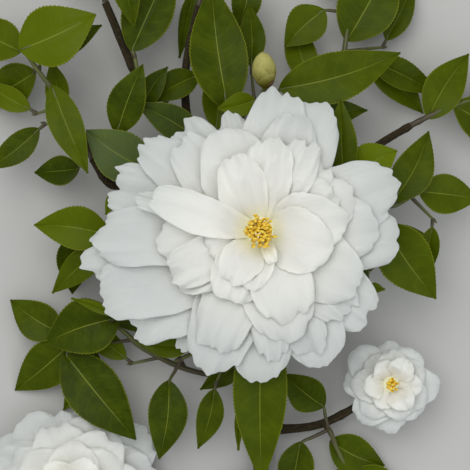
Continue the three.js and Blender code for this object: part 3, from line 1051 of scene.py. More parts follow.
@dataclass
class Pile:
    """Heights of what lies on top so far, so that each petal settles on the ones below it.

    It covers a square round the bloom's axis: half its side and the side of one cell are in
    millimetres. The grid is how finely a petal is read, the rounds how far its lift is evened out.
    """

    centre: tuple[float, float]
    reach: float
    cell: float = 0.5
    grid: int = 45
    rounds: int = 70

    def __post_init__(self) -> None:
        """Start with nothing on it."""
        self.corner = np.array(self.centre) - self.reach
        self.side = int(2 * self.reach / self.cell) + 1
        self.height = np.full((self.side, self.side), -1000.0)
        self.steps = np.linspace(0, 1, self.grid)

    def cells(self, places: np.ndarray) -> tuple[np.ndarray, np.ndarray]:
        """Find the cell of each place.

        Args:
            places: Rows of x, y, z in millimetres.

        Returns:
            The rows and the columns of the cells.
        """
        index = np.rint((places[..., :2] - self.corner) / self.cell).astype(int)
        index = np.clip(index, 0, self.side - 1)
        return index[..., 0], index[..., 1]

    def settle(self, surface: Surface, gap: float) -> Surface:
        """Lift a petal where it would pass through those below, and let it hang smoothly between.

        Args:
            surface: The petal's own surface.
            gap: Distance between two petals' middle surfaces.

        Returns:
            The settled surface.
        """
        u, v = np.meshgrid(2 * self.steps - 1, self.steps, indexing="ij")
        own = surface(u, v)
        held = np.clip((v - 0.12) / 0.25, 0, 1)
        need = np.maximum(self.height[self.cells(own)] + gap - own[..., 2], 0) * held
        need = np.maximum.reduce([need, np.roll(need, 1, 0), np.roll(need, -1, 0), np.roll(need, -1, 1)])
        lift = need.copy()
        for _ in range(self.rounds):
            wide = np.pad(lift, 1, mode="edge")
            soft = (
                wide[1:-1, 1:-1] * 4 + wide[:-2, 1:-1] * 2 + wide[2:, 1:-1] * 2 + wide[1:-1, :-2] * 2
                + wide[1:-1, 2:] * 2 + wide[:-2, :-2] + wide[2:, 2:] + wide[:-2, 2:] + wide[2:, :-2]
            ) / 16
            lift = np.maximum(need, soft)
        last = self.grid - 1

        def settled(u: np.ndarray, v: np.ndarray) -> np.ndarray:
            """Return the places of the settled petal.

            Args:
                u: Places across, -1 to 1.
                v: Places along, 0 to 1.

            Returns:
                Rows of x, y, z in millimetres.
            """
            row, column = np.clip((u + 1) / 2, 0, 1) * last, np.clip(v, 0, 1) * last
            r0 = np.minimum(row.astype(int), last - 1)
            c0 = np.minimum(column.astype(int), last - 1)
            fr, fc = row - r0, column - c0
            raised = (
                lift[r0, c0] * (1 - fr) * (1 - fc) + lift[r0 + 1, c0] * fr * (1 - fc)
                + lift[r0, c0 + 1] * (1 - fr) * fc + lift[r0 + 1, c0 + 1] * fr * fc
            )
            result = surface(u, v)
            result[..., 2] += raised
            return result

        return settled

    def add(self, surface: Surface) -> None:
        """Put a settled petal on the pile.

        Args:
            surface: Its surface.
        """
        u, v = np.meshgrid(np.linspace(-1, 1, 110), np.linspace(0.15, 1, 130), indexing="ij")
        places = surface(u, v)
        np.maximum.at(self.height, self.cells(places), places[..., 2])


@dataclass
class StamenTuft:
    """The golden stamens at a bloom's heart, grown by a node tree.

    Spread, length and sizes are in millimetres; splay and waver are slopes, and the last two
    rows are the range of a stamen's size and the shape of its anther, as shares.
    """

    count: int = 150
    spread: float = 1.9
    length: float = 8.0
    filament_radius: float = 0.17
    anther_size: float = 0.58
    splay: float = 0.25
    seed: int = 5
    golden_angle: float = 2.39996
    oval: float = 1.12
    waver: float = 0.13
    sizes: tuple[float, float] = (0.82, 1.10)
    filament_sides: int = 5
    anther_shape: tuple[float, float, float] = (1.0, 0.7, 1.35)

    def tree(self, finishes: Finishes) -> bpy.types.NodeTree:
        """Build the node tree: filaments and anthers on a spiral of points.

        Args:
            finishes: The branch's materials.

        Returns:
            The tree.
        """
        writer = NodeWriter(bpy.data.node_groups.new("stamen_tuft", "GeometryNodeTree"))
        face = writer.tree.interface
        face.new_socket("Geometry", in_out="OUTPUT", socket_type="NodeSocketGeometry")
        inputs = {
            "Geometry": "Geometry", "Spread": "Float", "Length": "Float", "Filament Radius": "Float",
            "Anther Size": "Float", "Splay": "Float", "Count": "Int", "Seed": "Int", "Foot": "Vector",
        }
        for name, kind in inputs.items():
            face.new_socket(name, in_out="INPUT", socket_type=f"NodeSocket{kind}")
        given = writer.new("NodeGroupInput").outputs
        index = writer.new("GeometryNodeInputIndex").outputs[0]
        angle = writer.times(index, self.golden_angle)
        share = writer.math("DIVIDE", writer.plus(index, 0.5), given["Count"])
        outward = writer.math("SQRT", share)
        points = self.spiral(writer, given, angle, outward)
        turn = self.leaning(writer, given, angle, outward)
        size = writer.new("FunctionNodeRandomValue")
        size.data_type = "FLOAT"
        for socket, value in ((2, self.sizes[0]), (3, self.sizes[1]), ("Seed", given["Seed"])):
            writer.put(size.inputs[socket], value)
        end = writer.vector(0.0, 0.0, given["Length"])
        join = writer.new("GeometryNodeJoinGeometry")
        parts = (
            (self.thread(writer, given, end), finishes.filament),
            (self.knob(writer, given, end), finishes.anther),
        )
        for part, material in parts:
            spread = writer.new("GeometryNodeInstanceOnPoints")
            settings = {"Points": points, "Instance": part, "Rotation": turn, "Scale": size.outputs[1]}
            for socket, value in settings.items():
                writer.put(spread.inputs[socket], value)
            real = writer.fill(writer.new("GeometryNodeRealizeInstances"), spread.outputs[0])
            dress = writer.new("GeometryNodeSetMaterial")
            writer.put(dress.inputs["Material"], material)
            writer.put(dress.inputs["Geometry"], real)
            writer.put(join.inputs[0], dress.outputs[0])
        writer.put(writer.new("NodeGroupOutput").inputs[0], join.outputs[0])
        return writer.tree

    def spiral(
        self, writer: NodeWriter, given: bpy.types.bpy_prop_collection, angle: bpy.types.NodeSocket,
        outward: bpy.types.NodeSocket,
    ) -> bpy.types.NodeSocket:
        """Lay the points on an even spiral, a little wider one way than the other.

        Args:
            writer: Writes the tree.
            given: The tree's inputs.
            angle: Each point's angle round the foot.
            outward: Each point's distance from the foot, as a share.

        Returns:
            The socket of the points.
        """
        reach = writer.times(outward, given["Spread"])
        across = writer.times(writer.math("COSINE", angle), reach)
        along = writer.times(writer.times(writer.math("SINE", angle), reach), self.oval)
        shifted = writer.new("ShaderNodeVectorMath")
        shifted.operation = "ADD"
        place = writer.fill(shifted, writer.vector(across, along), given["Foot"])
        points = writer.new("GeometryNodePoints")
        writer.put(points.inputs["Count"], given["Count"])
        writer.put(points.inputs["Position"], place)
        return points.outputs[0]

    def leaning(
        self, writer: NodeWriter, given: bpy.types.bpy_prop_collection, angle: bpy.types.NodeSocket,
        outward: bpy.types.NodeSocket,
    ) -> bpy.types.NodeSocket:
        """Turn each stamen outwards, by more the further out it stands, and unevenly.

        Args:
            writer: Writes the tree.
            given: The tree's inputs.
            angle: Each point's angle round the foot.
            outward: Each point's distance from the foot, as a share.

        Returns:
            The socket of the rotations.
        """
        tilt = writer.new("FunctionNodeRandomValue")
        tilt.data_type = "FLOAT_VECTOR"
        writer.fill(tilt, (-self.waver, -self.waver, 0.0), (self.waver, self.waver, 0.0))
        writer.put(tilt.inputs["Seed"], given["Seed"])
        lean = writer.times(outward, given["Splay"])
        across = writer.times(writer.math("COSINE", angle), lean)
        along = writer.times(writer.math("SINE", angle), lean)
        way = writer.new("ShaderNodeVectorMath")
        way.operation = "ADD"
        writer.fill(way, writer.vector(across, along, 1.0), tilt.outputs[0])
        turn = writer.new("FunctionNodeAlignRotationToVector")
        turn.axis = "Z"
        writer.put(turn.inputs["Vector"], way.outputs[0])
        return turn.outputs[0]

    def thread(
        self, writer: NodeWriter, given: bpy.types.bpy_prop_collection, end: bpy.types.NodeSocket,
    ) -> bpy.types.NodeSocket:
        """Make one filament.

        Args:
            writer: Writes the tree.
            given: The tree's inputs.
            end: Where it ends.

        Returns:
            The socket of its mesh.
        """
        line = writer.new("GeometryNodeCurvePrimitiveLine")
        writer.put(line.inputs["End"], end)
        ring = writer.new("GeometryNodeCurvePrimitiveCircle")
        writer.put(ring.inputs["Resolution"], self.filament_sides)
        writer.put(ring.inputs["Radius"], given["Filament Radius"])
        thread = writer.new("GeometryNodeCurveToMesh")
        writer.put(thread.inputs["Curve"], line.outputs[0])
        writer.put(thread.inputs["Profile Curve"], ring.outputs[0])
        writer.put(thread.inputs["Fill Caps"], True)
        return thread.outputs[0]

    def knob(
        self, writer: NodeWriter, given: bpy.types.bpy_prop_collection, end: bpy.types.NodeSocket,
    ) -> bpy.types.NodeSocket:
        """Make one anther at the end of a filament.

        Args:
            writer: Writes the tree.
            given: The tree's inputs.
            end: Where it sits.

        Returns:
            The socket of its mesh.
        """
        ball = writer.new("GeometryNodeMeshIcoSphere")
        writer.put(ball.inputs["Subdivisions"], 2)
        writer.put(ball.inputs["Radius"], given["Anther Size"])
        knob = writer.new("GeometryNodeTransform")
        writer.put(knob.inputs["Scale"], self.anther_shape)
        writer.put(knob.inputs["Geometry"], ball.outputs[0])
        writer.put(knob.inputs["Translation"], end)
        return knob.outputs[0]

    def build(self, name: str, foot: Point, finishes: Finishes) -> bpy.types.Object:
        """Grow the tuft and make it a plain mesh.

        Args:
            name: Name of the piece.
            foot: Where the filaments start, in millimetres of the layout.
            finishes: The branch's materials.

        Returns:
            The finished object.
        """
        tree = self.tree(finishes)
        place = tuple((value + shift) * MM for value, shift in zip(foot, LAYOUT_SHIFT))
        values = {
            "Spread": self.spread * MM,
            "Length": self.length * MM,
            "Filament Radius": self.filament_radius * MM,
            "Anther Size": self.anther_size * MM,
            "Splay": self.splay,
            "Count": self.count,
            "Seed": self.seed,
            "Foot": place,
        }
        return grow(name, tree, values)


def grow(name: str, tree: bpy.types.NodeTree, values: dict[str, object]) -> bpy.types.Object:
    """Run a node tree on an empty mesh and keep its result as a plain mesh.

    Args:
        name: Name of the piece.
        tree: The tree.
        values: Its inputs by name.

    Returns:
        The plain object.
    """
    host = bpy.data.objects.new(name + "_host", bpy.data.meshes.new(name + "_host"))
    bpy.context.scene.collection.objects.link(host)
    modifier = host.modifiers.new("grow", "NODES")
    modifier.node_group = tree
    for item in tree.interface.items_tree:
        if item.in_out == "INPUT" and item.name in values:
            modifier[item.identifier] = values[item.name]
    evaluated = host.evaluated_get(bpy.context.evaluated_depsgraph_get())
    mesh = bpy.data.meshes.new_from_object(evaluated)
    bpy.data.objects.remove(host)
    mesh.name = name
    layer = mesh.uv_layers.get("run") or mesh.uv_layers.new(name="run")
    places = np.empty(len(mesh.vertices) * 3, dtype=np.float32)
    mesh.vertices.foreach_get("co", places)
    height = places.reshape(-1, 3)[:, 2]
    share = (height - height.min()) / max(1e-9, height.max() - height.min())
    corners = np.empty(len(mesh.loops), dtype=np.int32)
    mesh.loops.foreach_get("vertex_index", corners)
    rows = np.stack([np.full(len(corners), 0.5), share[corners]], axis=1)
    layer.data.foreach_set("uv", rows.astype(np.float32).ravel())
    mesh.polygons.foreach_set("use_smooth", [True] * len(mesh.polygons))
    made = bpy.data.objects.new(name, mesh)
    bpy.context.scene.collection.objects.link(made)
    return made


# Radius and height of a bloom's heart, as shares of the widest and of the whole
HEART_PROFILE = [
    (0, 0.08), (0.5, 0.1), (0.85, 0.25), (0.9, 0.42), (0.62, 0.58), (0.42, 0.68), (0.36, 0.80),
    (0.22, 0.86), (0, 0.87),
]
# Length of the stamens for which the style's sizes hold, in millimetres
FULL_TUFT = 8.0


@dataclass
class Bloom:
    """A double bloom: rings of petals, its stamens and the calyx below.

    The calyx and the heart are heights above the floor: the foot of the body that carries the
    petals and the top of the stamens. The reach of the rim is where the petals are painted their
    greyest shade.
    """

    node: str
    centre: tuple[float, float]
    calyx: float
    heart: float
    core_radius: float
    rings: dict[str, list[Petal]]
    tuft: StamenTuft
    rim_reach: float
    across_steps: int = 61
    along_steps: int = 34
    thickness: float = 0.22
    petal_gap: float = 0.27
    fullness: float = 1.04
    sepals: int = 6
    sepal_rise: float = 2.4
    sepal_thickness: float = 0.5
    style_radius: float = 0.30

    def inward(self, places: np.ndarray) -> np.ndarray:
        """Return how near each place is to the stamens: 1 beside them, 0 at the bloom's rim."""
        reach = np.hypot(places[:, 0] - self.centre[0], places[:, 1] - self.centre[1])
        return np.clip((self.rim_reach - reach) / (self.rim_reach - self.tuft.spread), 0, 1)

    def claim(self, room: Room) -> None:
        """Fill the room of the petals.

        Args:
            room: What is filled.
        """
        for ring in self.rings.values():
            for order, petal in enumerate(ring):
                room.fill(sample(petal.surface(self.centre, order), 5, 12))

    def petals(self, finishes: Finishes) -> None:
        """Build each ring of petals as one piece.

        Args:
            finishes: The branch's materials.
        """
        across = round_steps(self.across_steps)
        along = np.linspace(0, 1, self.along_steps) ** 0.85
        longest = max(petal.reach for ring in self.rings.values() for petal in ring)
        pile = Pile(self.centre, longest + 3)
        seed = 1
        for order, (ring, petals) in enumerate(self.rings.items()):
            sheet = MeshSheet()
            for petal in sorted(petals, key=Petal.level):
                surface = pile.settle(petal.surface(self.centre, seed, self.fullness), self.petal_gap)
                pile.add(surface)
                # The tone from inward sets the petals' painted shade towards the rim and their yellow beside
                # the stamens
                sheet.blade(surface, across, along, self.thickness, self.inward, rim=0.25)
                seed += 1
            piece = sheet.to_object(f"{self.node}_{ring}_petals", [finishes.petal])
            declare(piece, self.node if order == 0 else None)

    def core(self, finishes: Finishes) -> None:
        """Build the cream body that the petals and stamens stand on.

        Args:
            finishes: The branch's materials.
        """
        height = self.heart - self.calyx
        sheet = MeshSheet()
        profile = [(radius * self.core_radius, rise * height) for radius, rise in HEART_PROFILE]
        foot = (self.centre[0], self.centre[1], self.calyx)
        sheet.lathe(profile, foot, (0, 0, 1), 24, tone=1.0)
        declare(sheet.to_object(f"{self.node}_heart", [finishes.heart]))

    def style(self, finishes: Finishes) -> None:
        """Build the pale style, parted in three, that stands among the stamens.

        Args:
            finishes: The branch's materials.
        """
        sheet = MeshSheet()
        share = self.tuft.length / FULL_TUFT
        x, y = self.centre[0] - 0.5 * share, self.centre[1] - 0.9 * share
        for branch in range(3):
            angle = 2.1 * branch + 0.6
            out = (math.cos(angle) * share, math.sin(angle) * share)
            path = SmoothPath([
                (x, y, self.heart - self.tuft.length), (x, y, self.heart - 1.6),
                (x + 0.35 * out[0], y + 0.35 * out[1], self.heart - 0.3),
                (x + 0.85 * out[0], y + 0.85 * out[1], self.heart + 0.15),
            ])
            sheet.tube(path, Taper(self.style_radius, 0.06, scale=share), 14, 8)
        declare(sheet.to_object(f"{self.node}_style", [finishes.style]))

    def bracts(self, finishes: Finishes) -> None:
        """Build the overlapping green sepals under the petals, in two rings.

        Args:
            finishes: The branch's materials.
        """
        sheet = MeshSheet()
        across, along = edge_steps(9, 0.05), np.linspace(0, 1, 10)
        for i in range(self.sepals * 2):
            second = i >= self.sepals
            direction = 360 / self.sepals * (i + 0.5 * second)
            reach = self.core_radius * (1.35 if second else 1.0)
            foot = self.calyx + (0.6 if second else 0.0)
            tip = foot + self.sepal_rise
            sepal = Petal(direction, reach, self.core_radius * 1.15, foot, tip, CUPPED, 0.15)
            surface = sepal.surface(self.centre, 60 + i)
            sheet.blade(surface, across, along, self.sepal_thickness, 0.2)
        declare(sheet.to_object(f"{self.node}_calyx", [finishes.sepal]))

    def build(self, finishes: Finishes) -> None:
        """Build and dress the whole bloom.

        Args:
            finishes: The branch's materials.
        """
        self.petals(finishes)
        self.core(finishes)
        self.style(finishes)
        self.bracts(finishes)
        foot = (self.centre[0], self.centre[1], self.heart - self.tuft.length - 0.5)
        declare(self.tuft.build(f"{self.node}_stamens", foot, finishes))


def ruled_petals(seed: int, rings: dict[str, tuple]) -> dict[str, list[Petal]]:
    """Return the petals of a bloom that is grown by rule, as its solid is.

    Args:
        seed: Seed of the rule.
        rings: Count, reach, width, height at the base and tip, and kind for each ring.

    Returns:
        The petals of each ring.
    """
    random = Seeded(seed)
    grown: dict[str, list[Petal]] = {}
    for order, (ring, (count, reach, width, base, tip, style)) in enumerate(rings.items()):
        grown[ring] = []
        for i in range(count):
            direction = (360 / count) * (i + 0.5 * (order % 2)) + random.about(16)
            length = reach * random.within(0.9, 0.2)
            lift = random.about(2) + (i % 2)
            grown[ring].append(Petal(direction, length, width, base, tip + lift, style))
    return grown


@dataclass(frozen=True)
class Leaf:
    """One leaf: where it starts and ends, its width, and its tone from deep 0 to fresh 1.

    A tone below 0 is greyer, a painted sheen of reflected sky. The least half width is that of
    its foot and tip.
    """

    base: Point
    tip: Point
    width: float
    tone: float = 0.3
    least_half: float = 0.35
    least_height: float = 0.3

    def surface(self, seed: int) -> Surface:
        """Return the leaf's middle surface.

        Args:
            seed: Tells the leaf's waves from the next one's.

        Returns:
            The surface, in millimetres.
        """
        start = np.array(self.base, dtype=float)
        way = np.array(self.tip, dtype=float) - start
        length = float(np.linalg.norm(way))
        side = np.cross(way, UP)
        side /= np.linalg.norm(side)
        random = Seeded(seed * 104729 + 71)
        wave, turn = random.next() * FULL_TURN, random.about(0.35)
        bow = random.about(0.10) * length
        teeth = max(14, round(length * 0.9))
        fold = random.within(0.16, 0.16)
        curl = (random.next() - 0.3) * 0.05 * length

        def place(u: np.ndarray, v: np.ndarray) -> np.ndarray:
            """Return the places of the leaf's middle surface.

            Args:
                u: Places across, -1 to 1.
                v: Places along, 0 to 1.

            Returns:
                Rows of x, y, z in millimetres.
            """
            inside = np.clip(v, 0, 1)
            size = np.abs(u)
            # A pointed oval with a saw edge
            outline = np.sin(math.pi * inside ** 0.82) ** 0.80 * (1 - 0.3 * inside ** 3)
            fringe = 1 + 0.05 * ((inside * teeth) % 1.0) * np.clip((inside - 0.12) * 8, 0, 1)
            half = np.maximum(self.least_half, self.width / 2 * outline * fringe)
            # Arched along, folded up at the midrib, curled at the tip
            height = 0.06 * length * np.sin(math.pi * inside) + fold * half * size
            height = height + curl * np.clip(inside - 0.6, 0, 1) ** 2 * 4
            # Quilted between the veins, waved at the edge, twisted, sunk along the midrib
            swept = inside - 0.07 * size - 0.10 * size ** 3
            quilt = np.cos(FULL_TURN * VEINS * swept) * np.sin(math.pi * np.minimum(1, size))
            height = height - 0.005 * half * quilt
            height = height + 0.05 * half * np.sin(5.5 * inside * 2 + wave) * size ** 2
            height = height + turn * half * u * (inside - 0.4)
            height = height - 0.25 * np.exp(-((u / 0.09) ** 2))
            aside = u * half + bow * np.sin(math.pi * inside)
            result = start + way * inside[..., None] + side * aside[..., None] + UP * height[..., None]
            result[..., 2] = np.maximum(result[..., 2], self.least_height)
            return result

        return place


def turned(way: np.ndarray, degrees: float) -> np.ndarray:
    """Return a level direction of length 1, turned about the upright from a way's own."""
    angle = math.atan2(way[1], way[0]) + math.radians(degrees)
    return np.array([math.cos(angle), math.sin(angle), 0.0])


@dataclass(frozen=True)
class TwigRule:
    """How side twigs grow; a pair is the least value and what the draw may add to it.

    Places are shares of the stem, turns are in degrees, and the rest is in millimetres.
    """

    tries: int = 14
    place: tuple[float, float] = (0.2, 0.75)
    turn: tuple[float, float] = (35, 50)
    reach: tuple[float, float] = (7, 12)
    drop: tuple[float, float] = (1, 5)
    leaf_length: tuple[float, float] = (19, 13)
    leaf_drop: tuple[float, float] = (2, 6)
    leaf_tone: tuple[float, float] = (0.15, 0.5)
    leaf_turn: float = 14.0
    leaf_stalk: float = 2.5
    slimness: float = 0.42
    margin: float = 1.0
    lowest_foot: float = 1.2
    lowest_tip: float = 0.6


# Radius of a twig's end bud and place along it, as shares of the twig's own radius
END_BUD_PROFILE = [(0, -0.4), (1.0, -0.3), (1.35, 0.9), (1.3, 1.9), (0.85, 3.3), (0.35, 4.3), (0, 4.7)]


@dataclass
class Spray:
    """A mass of foliage: one green stem with its leaves, and finer twigs by a seeded rule."""

    node: str
    path: list[Point]
    leaves: list[Leaf]
    bare_rings: int = 0
    twigs: int = 4
    stem_radius: float = 0.95
    tip_radius: float = 0.6
    twig_taper: Taper = Taper(0.6, 0.2)
    stalk_taper: Taper = Taper(0.62, 0.24)
    leaf_thickness: float = 0.42
    leaf_gap: float = 2.0
    rule: TwigRule = TwigRule()
    side_stems: list[tuple[list[Point], list[Leaf]]] = field(default_factory=list)
    ends_in_bud: bool = True

    def claim(self, room: Room, seed: int) -> None:
        """Fill the room of the stem and its own leaves.

        Args:
            room: What is filled.
            seed: First seed of the leaves.
        """
        room.fill(SmoothPath(self.path).places(25))
        for order, leaf in enumerate(self.leaves):
            room.fill(sample(leaf.surface(seed + order)))

    def space(self) -> tuple[np.ndarray, np.ndarray]:
        """Read the space of the spray's solid.

        Returns:
            Its lowest and highest corner in the layout's millimetres.
        """
        low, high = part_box(self.node)
        shift = np.array(LAYOUT_SHIFT)
        return np.array(low) / MM - shift, np.array(high) / MM - shift

    def branch_out(self, room: Room, seed: int) -> None:
        """Grow side twigs with smaller leaves inside the spray's space.

        Args:
            room: What is filled.
            seed: Seed of the rule.
        """
        rule, random = self.rule, Seeded(seed * 31 + 7)
        low, high = self.space()
        stem = SmoothPath(self.path)
        for attempt in range(rule.tries):
            if len(self.side_stems) == self.twigs:
                break
            t = random.within(*rule.place)
            foot, side = stem.at(t), 1 if attempt % 2 else -1
            heading = turned(stem.along(t), side * random.within(*rule.turn))
            reach = random.within(*rule.reach)
            drop = random.within(*rule.drop)
            knee = foot + heading * reach * 0.5 - UP * (0.3 * drop)
            tip = foot + heading * reach - UP * drop
            kept, end_bears = [], False
            for place, angle, share in ((tip, 0.0, 1.0), (tip, 48.0, 0.85), (knee, -52.0, 0.8)):
                way = turned(heading, angle + random.about(rule.leaf_turn))
                length = random.within(*rule.leaf_length) * share
                start = place + way * rule.leaf_stalk
                end = start + way * length - UP * random.within(*rule.leaf_drop)
                start[2], end[2] = max(rule.lowest_foot, start[2]), max(rule.lowest_tip, end[2])
                tone = random.within(*rule.leaf_tone)
                leaf = Leaf(tuple(start), tuple(end), length * rule.slimness, tone)
                ends = np.array([start, end])
                inside = (ends >= low - rule.margin).all() and (ends <= high + rule.margin).all()
                places = sample(leaf.surface(seed + 50 + attempt))
                if inside and room.is_free(places, self.leaf_gap):
                    kept.append(leaf)
                    room.fill(places)
                    end_bears = end_bears or place is tip
            if kept and tip[2] > 1:
                middle, end = (knee, tip) if end_bears else ((foot + knee) / 2, knee)
                self.side_stems.append(([tuple(foot), tuple(middle), tuple(end)], kept))

    def blade(
        self, sheet: MeshSheet, leaf: Leaf, seed: int, across: np.ndarray, along: np.ndarray,
    ) -> Surface:
        """Add one leaf and return its surface.

        Args:
            sheet: Where it is added.
            leaf: The leaf.
            seed: Its seed.
            across: Steps across.
            along: Steps along.

        Returns:
            The leaf's middle surface.
        """
        surface = leaf.surface(seed)
        sheet.blade(surface, across, along, self.leaf_thickness, leaf.tone, under_slot=1)
        return surface

    def stalk(self, sheet: MeshSheet, surface: Surface, rings: list[np.ndarray]) -> None:
        """Add the stalk from the nearest place of a stem into a leaf's foot.

        Args:
            sheet: Where it is added.
            surface: The leaf's middle surface.
            rings: Places of the stem.
        """
        base = surface(np.array([0.0]), np.array([0.03]))[0]
        inside = surface(np.array([0.0]), np.array([0.2]))[0] - UP * 0.25
        nearest = rings[int(np.argmin([np.linalg.norm(ring - base) for ring in rings]))]
        path = SmoothPath([tuple(nearest), tuple((nearest + base) / 2), tuple(base), tuple(inside)])
        sheet.tube(path, self.stalk_taper, 14, 8)

    def end_bud(self, sheet: MeshSheet, stem: SmoothPath, size: float) -> None:
        """Add the small pointed bud that closes a stem's end; its size is that end's radius."""
        profile = [(reach * size, place * size) for reach, place in END_BUD_PROFILE]
        sheet.lathe(profile, tuple(stem.at(1.0)), tuple(stem.along(1.0)), 10)

    def build(self, finishes: Finishes, seed: int) -> None:
        """Build the leaves as one piece and the twigs as another.

        Args:
            finishes: The branch's materials.
            seed: First seed of its leaves.
        """
        stem = SmoothPath(self.path)
        blades, twig = MeshSheet(), MeshSheet()
        across, along = edge_steps(9, 0.05), np.linspace(0, 1, 133)
        twig.tube(stem, Taper(self.stem_radius, self.stem_radius - self.tip_radius, 0.06), 40, 12)
        if self.ends_in_bud:
            self.end_bud(twig, stem, self.tip_radius)
        rings = [stem.at(k / 8) for k in range(2, 9 - self.bare_rings)]
        for order, leaf in enumerate(self.leaves):
            self.stalk(twig, self.blade(blades, leaf, seed + order, across, along), rings)
        across, along = edge_steps(7, 0.06), np.linspace(0, 1, 81)
        for order, (points, leaves) in enumerate(self.side_stems):
            side_stem = SmoothPath(points)
            twig.tube(side_stem, self.twig_taper, 14, 8)
            self.end_bud(twig, side_stem, 0.4)
            places = [side_stem.at(0.55), side_stem.at(1.0)]
            for leaf in leaves:
                self.stalk(twig, self.blade(blades, leaf, seed + 50 + order, across, along), places)
        skins = [finishes.leaf, finishes.leaf_under]
        declare(blades.to_object(f"{self.node}_leaves", skins), self.node)
        declare(twig.to_object(f"{self.node}_twigs", [finishes.young_stem]))


@dataclass
class Limb:
    """A woody stem or bough with bark relief and slight swellings."""

    node: str
    path: list[Point]
    radii: tuple[float, float]
    collar: float = 0.45
    rings: int = 90
    sides: int = 28
    sawn: bool = False

    def radius(self, t: float, angle: float) -> float:
        """Shape the bark: a collar at the foot, swellings, ridges and roughness.

        Args:
            t: Place along, 0 to 1.
            angle: Angle round, in radians.

        Returns:
            The radius there, in millimetres.
        """
        plain = self.radii[0] + (self.radii[1] - self.radii[0]) * t
        collar = self.collar * math.exp(-((t / 0.09) ** 2))
        length = float(len(self.path))
        swell = 0.16 * max(0.0, math.sin(length * 4.1 * t + 0.7)) ** 10
        ridge = 0.030 * math.sin(5 * angle + 9 * t) + 0.018 * math.sin(11 * angle - 23 * t)
        rough = 0.018 * math.sin(140 * t + 3 * angle) + 0.014 * math.sin(67 * t * length + 7 * angle)
        return plain * (0.97 + collar + swell + ridge + rough)

    def claim(self, room: Room) -> None:
        """Fill the room of the limb."""
        room.fill(SmoothPath(self.path).places(61))

    def build(self, finishes: Finishes) -> None:
        """Build and dress the limb.

        Args:
            finishes: The branch's materials.
        """
        sheet = MeshSheet()
        sawn_slot = 1 if self.sawn else None
        sheet.tube(SmoothPath(self.path), self.radius, self.rings, self.sides, sawn_slot)
        materials = [finishes.bark, finishes.cut] if self.sawn else [finishes.bark]
        declare(sheet.to_object(f"{self.node}_bark", materials), self.node)


@dataclass
class Bud:
    """The closed bud: overlapping scales round an egg-shaped body."""

    node: str = "bud"
    base: Point = (9, 43, 29)
    tip: Point = (8, 53, 34)
    length: float = 11.4
    radius: float = 3.45
    body_share: float = 0.93
    scale_rows: int = 4
    scales_per_row: int = 3
    scale_thickness: float = 0.14
    dry_thickness: float = 0.22

    def girth(self, v: np.ndarray) -> np.ndarray:
        """Return the body's radius at a share of its length."""
        return self.radius * np.sin(math.pi * np.clip(v, 0, 1) ** 1.02) ** 0.60

    def axis(self) -> np.ndarray:
        """Return the direction from foot to tip, of length 1."""
        way = np.array(self.tip, dtype=float) - np.array(self.base, dtype=float)
        return way / np.linalg.norm(way)

    def height(self, places: np.ndarray) -> np.ndarray:
        """Return how far along the bud each place lies: 0 at the foot, 1 at the tip."""
        return (places - np.array(self.base, dtype=float)) @ self.axis() / self.length

    def scale(self, low: float, high: float, turn: float, lift: float, wrap: float = 1.35) -> Surface:
        """Return the surface of one scale that hugs the body.

        Args:
            low: Where on the length it starts, as a share.
            high: Where its tip lies, as a share.
            turn: Its direction round the axis, in radians.
            lift: Its distance from the axis as a share of the body's radius.
            wrap: How far it reaches round to each side, in radians.

        Returns:
            The surface, in millimetres.
        """
        foot, way = np.array(self.base, dtype=float), self.axis()
        side, over = square_to(way, UP)

        def place(u: np.ndarray, v: np.ndarray) -> np.ndarray:
            """Return the places of the scale.

            Args:
                u: Places across, -1 to 1.
                v: Places along, 0 to 1.

            Returns:
                Rows of x, y, z in millimetres.
            """
            end = 1 - 0.40 * np.abs(u) ** 2.4
            share = low + (high - low) * v * end
            angle = turn + u * wrap * (1 - 0.25 * v)
            reach = self.girth(share) * (lift + 0.018 * v) + 0.05
            spoke = side * np.sin(angle)[..., None] + over * np.cos(angle)[..., None]
            return foot + way * (share * self.length)[..., None] + spoke * reach[..., None]

        return place

    def build(self, finishes: Finishes) -> None:
        """Build and dress the bud.

        Args:
            finishes: The branch's materials.
        """
        sheet, dry = MeshSheet(), MeshSheet()
        steps = np.linspace(0, 1, 14)
        profile = [(0.0, 0.0)]
        profile += [(float(self.girth(v)) * self.body_share, float(v) * self.length) for v in steps[1:-1]]
        profile += [(0.0, self.length)]
        sheet.lathe(profile, self.base, tuple(self.axis()), 24, tone=self.height)
        across, along = edge_steps(13, 0.04), np.linspace(0, 1, 14)
        for row in range(self.scale_rows):
            low = 0.02 + 0.10 * row
            high = min(0.99, low + 0.46 + 0.12 * row)
            for k in range(self.scales_per_row):
                turn = FULL_TURN * (k + 0.5 * (row % 2)) / self.scales_per_row + 0.4
                surface = self.scale(low, high, turn, 1.0 - 0.012 * row)
                sheet.blade(surface, across, along, self.scale_thickness, self.height, rim=0.35)
        surface = self.scale(0.01, 0.27, 0.80, 1.12, 0.55)
        dry.blade(surface, across, along, self.dry_thickness, rim=0.5)
        declare(sheet.to_object("bud_scales", [finishes.bud]), self.node)
        declare(dry.to_object("bud_dry_scale", [finishes.brown_scale]))


@dataclass(frozen=True)
class Lamp:
    """A square soft light that faces the bloom: its place and side in metres, its power in watts."""

    name: str
    place: Point
    side: float
    power: float
    colour: Point
    faces: Point = (0.0, 0.0, 0.03)

    def build(self) -> None:
        """Hang the light."""
        data = bpy.data.lights.new(self.name, "AREA")
        data.energy, data.size, data.color = self.power, self.side, self.colour
        lamp = bpy.data.objects.new(self.name, data)
        lamp.location = self.place
        lamp.rotation_euler = (Vector(self.faces) - Vector(self.place)).to_track_quat("-Z", "Y").to_euler()
        bpy.context.scene.collection.objects.link(lamp)


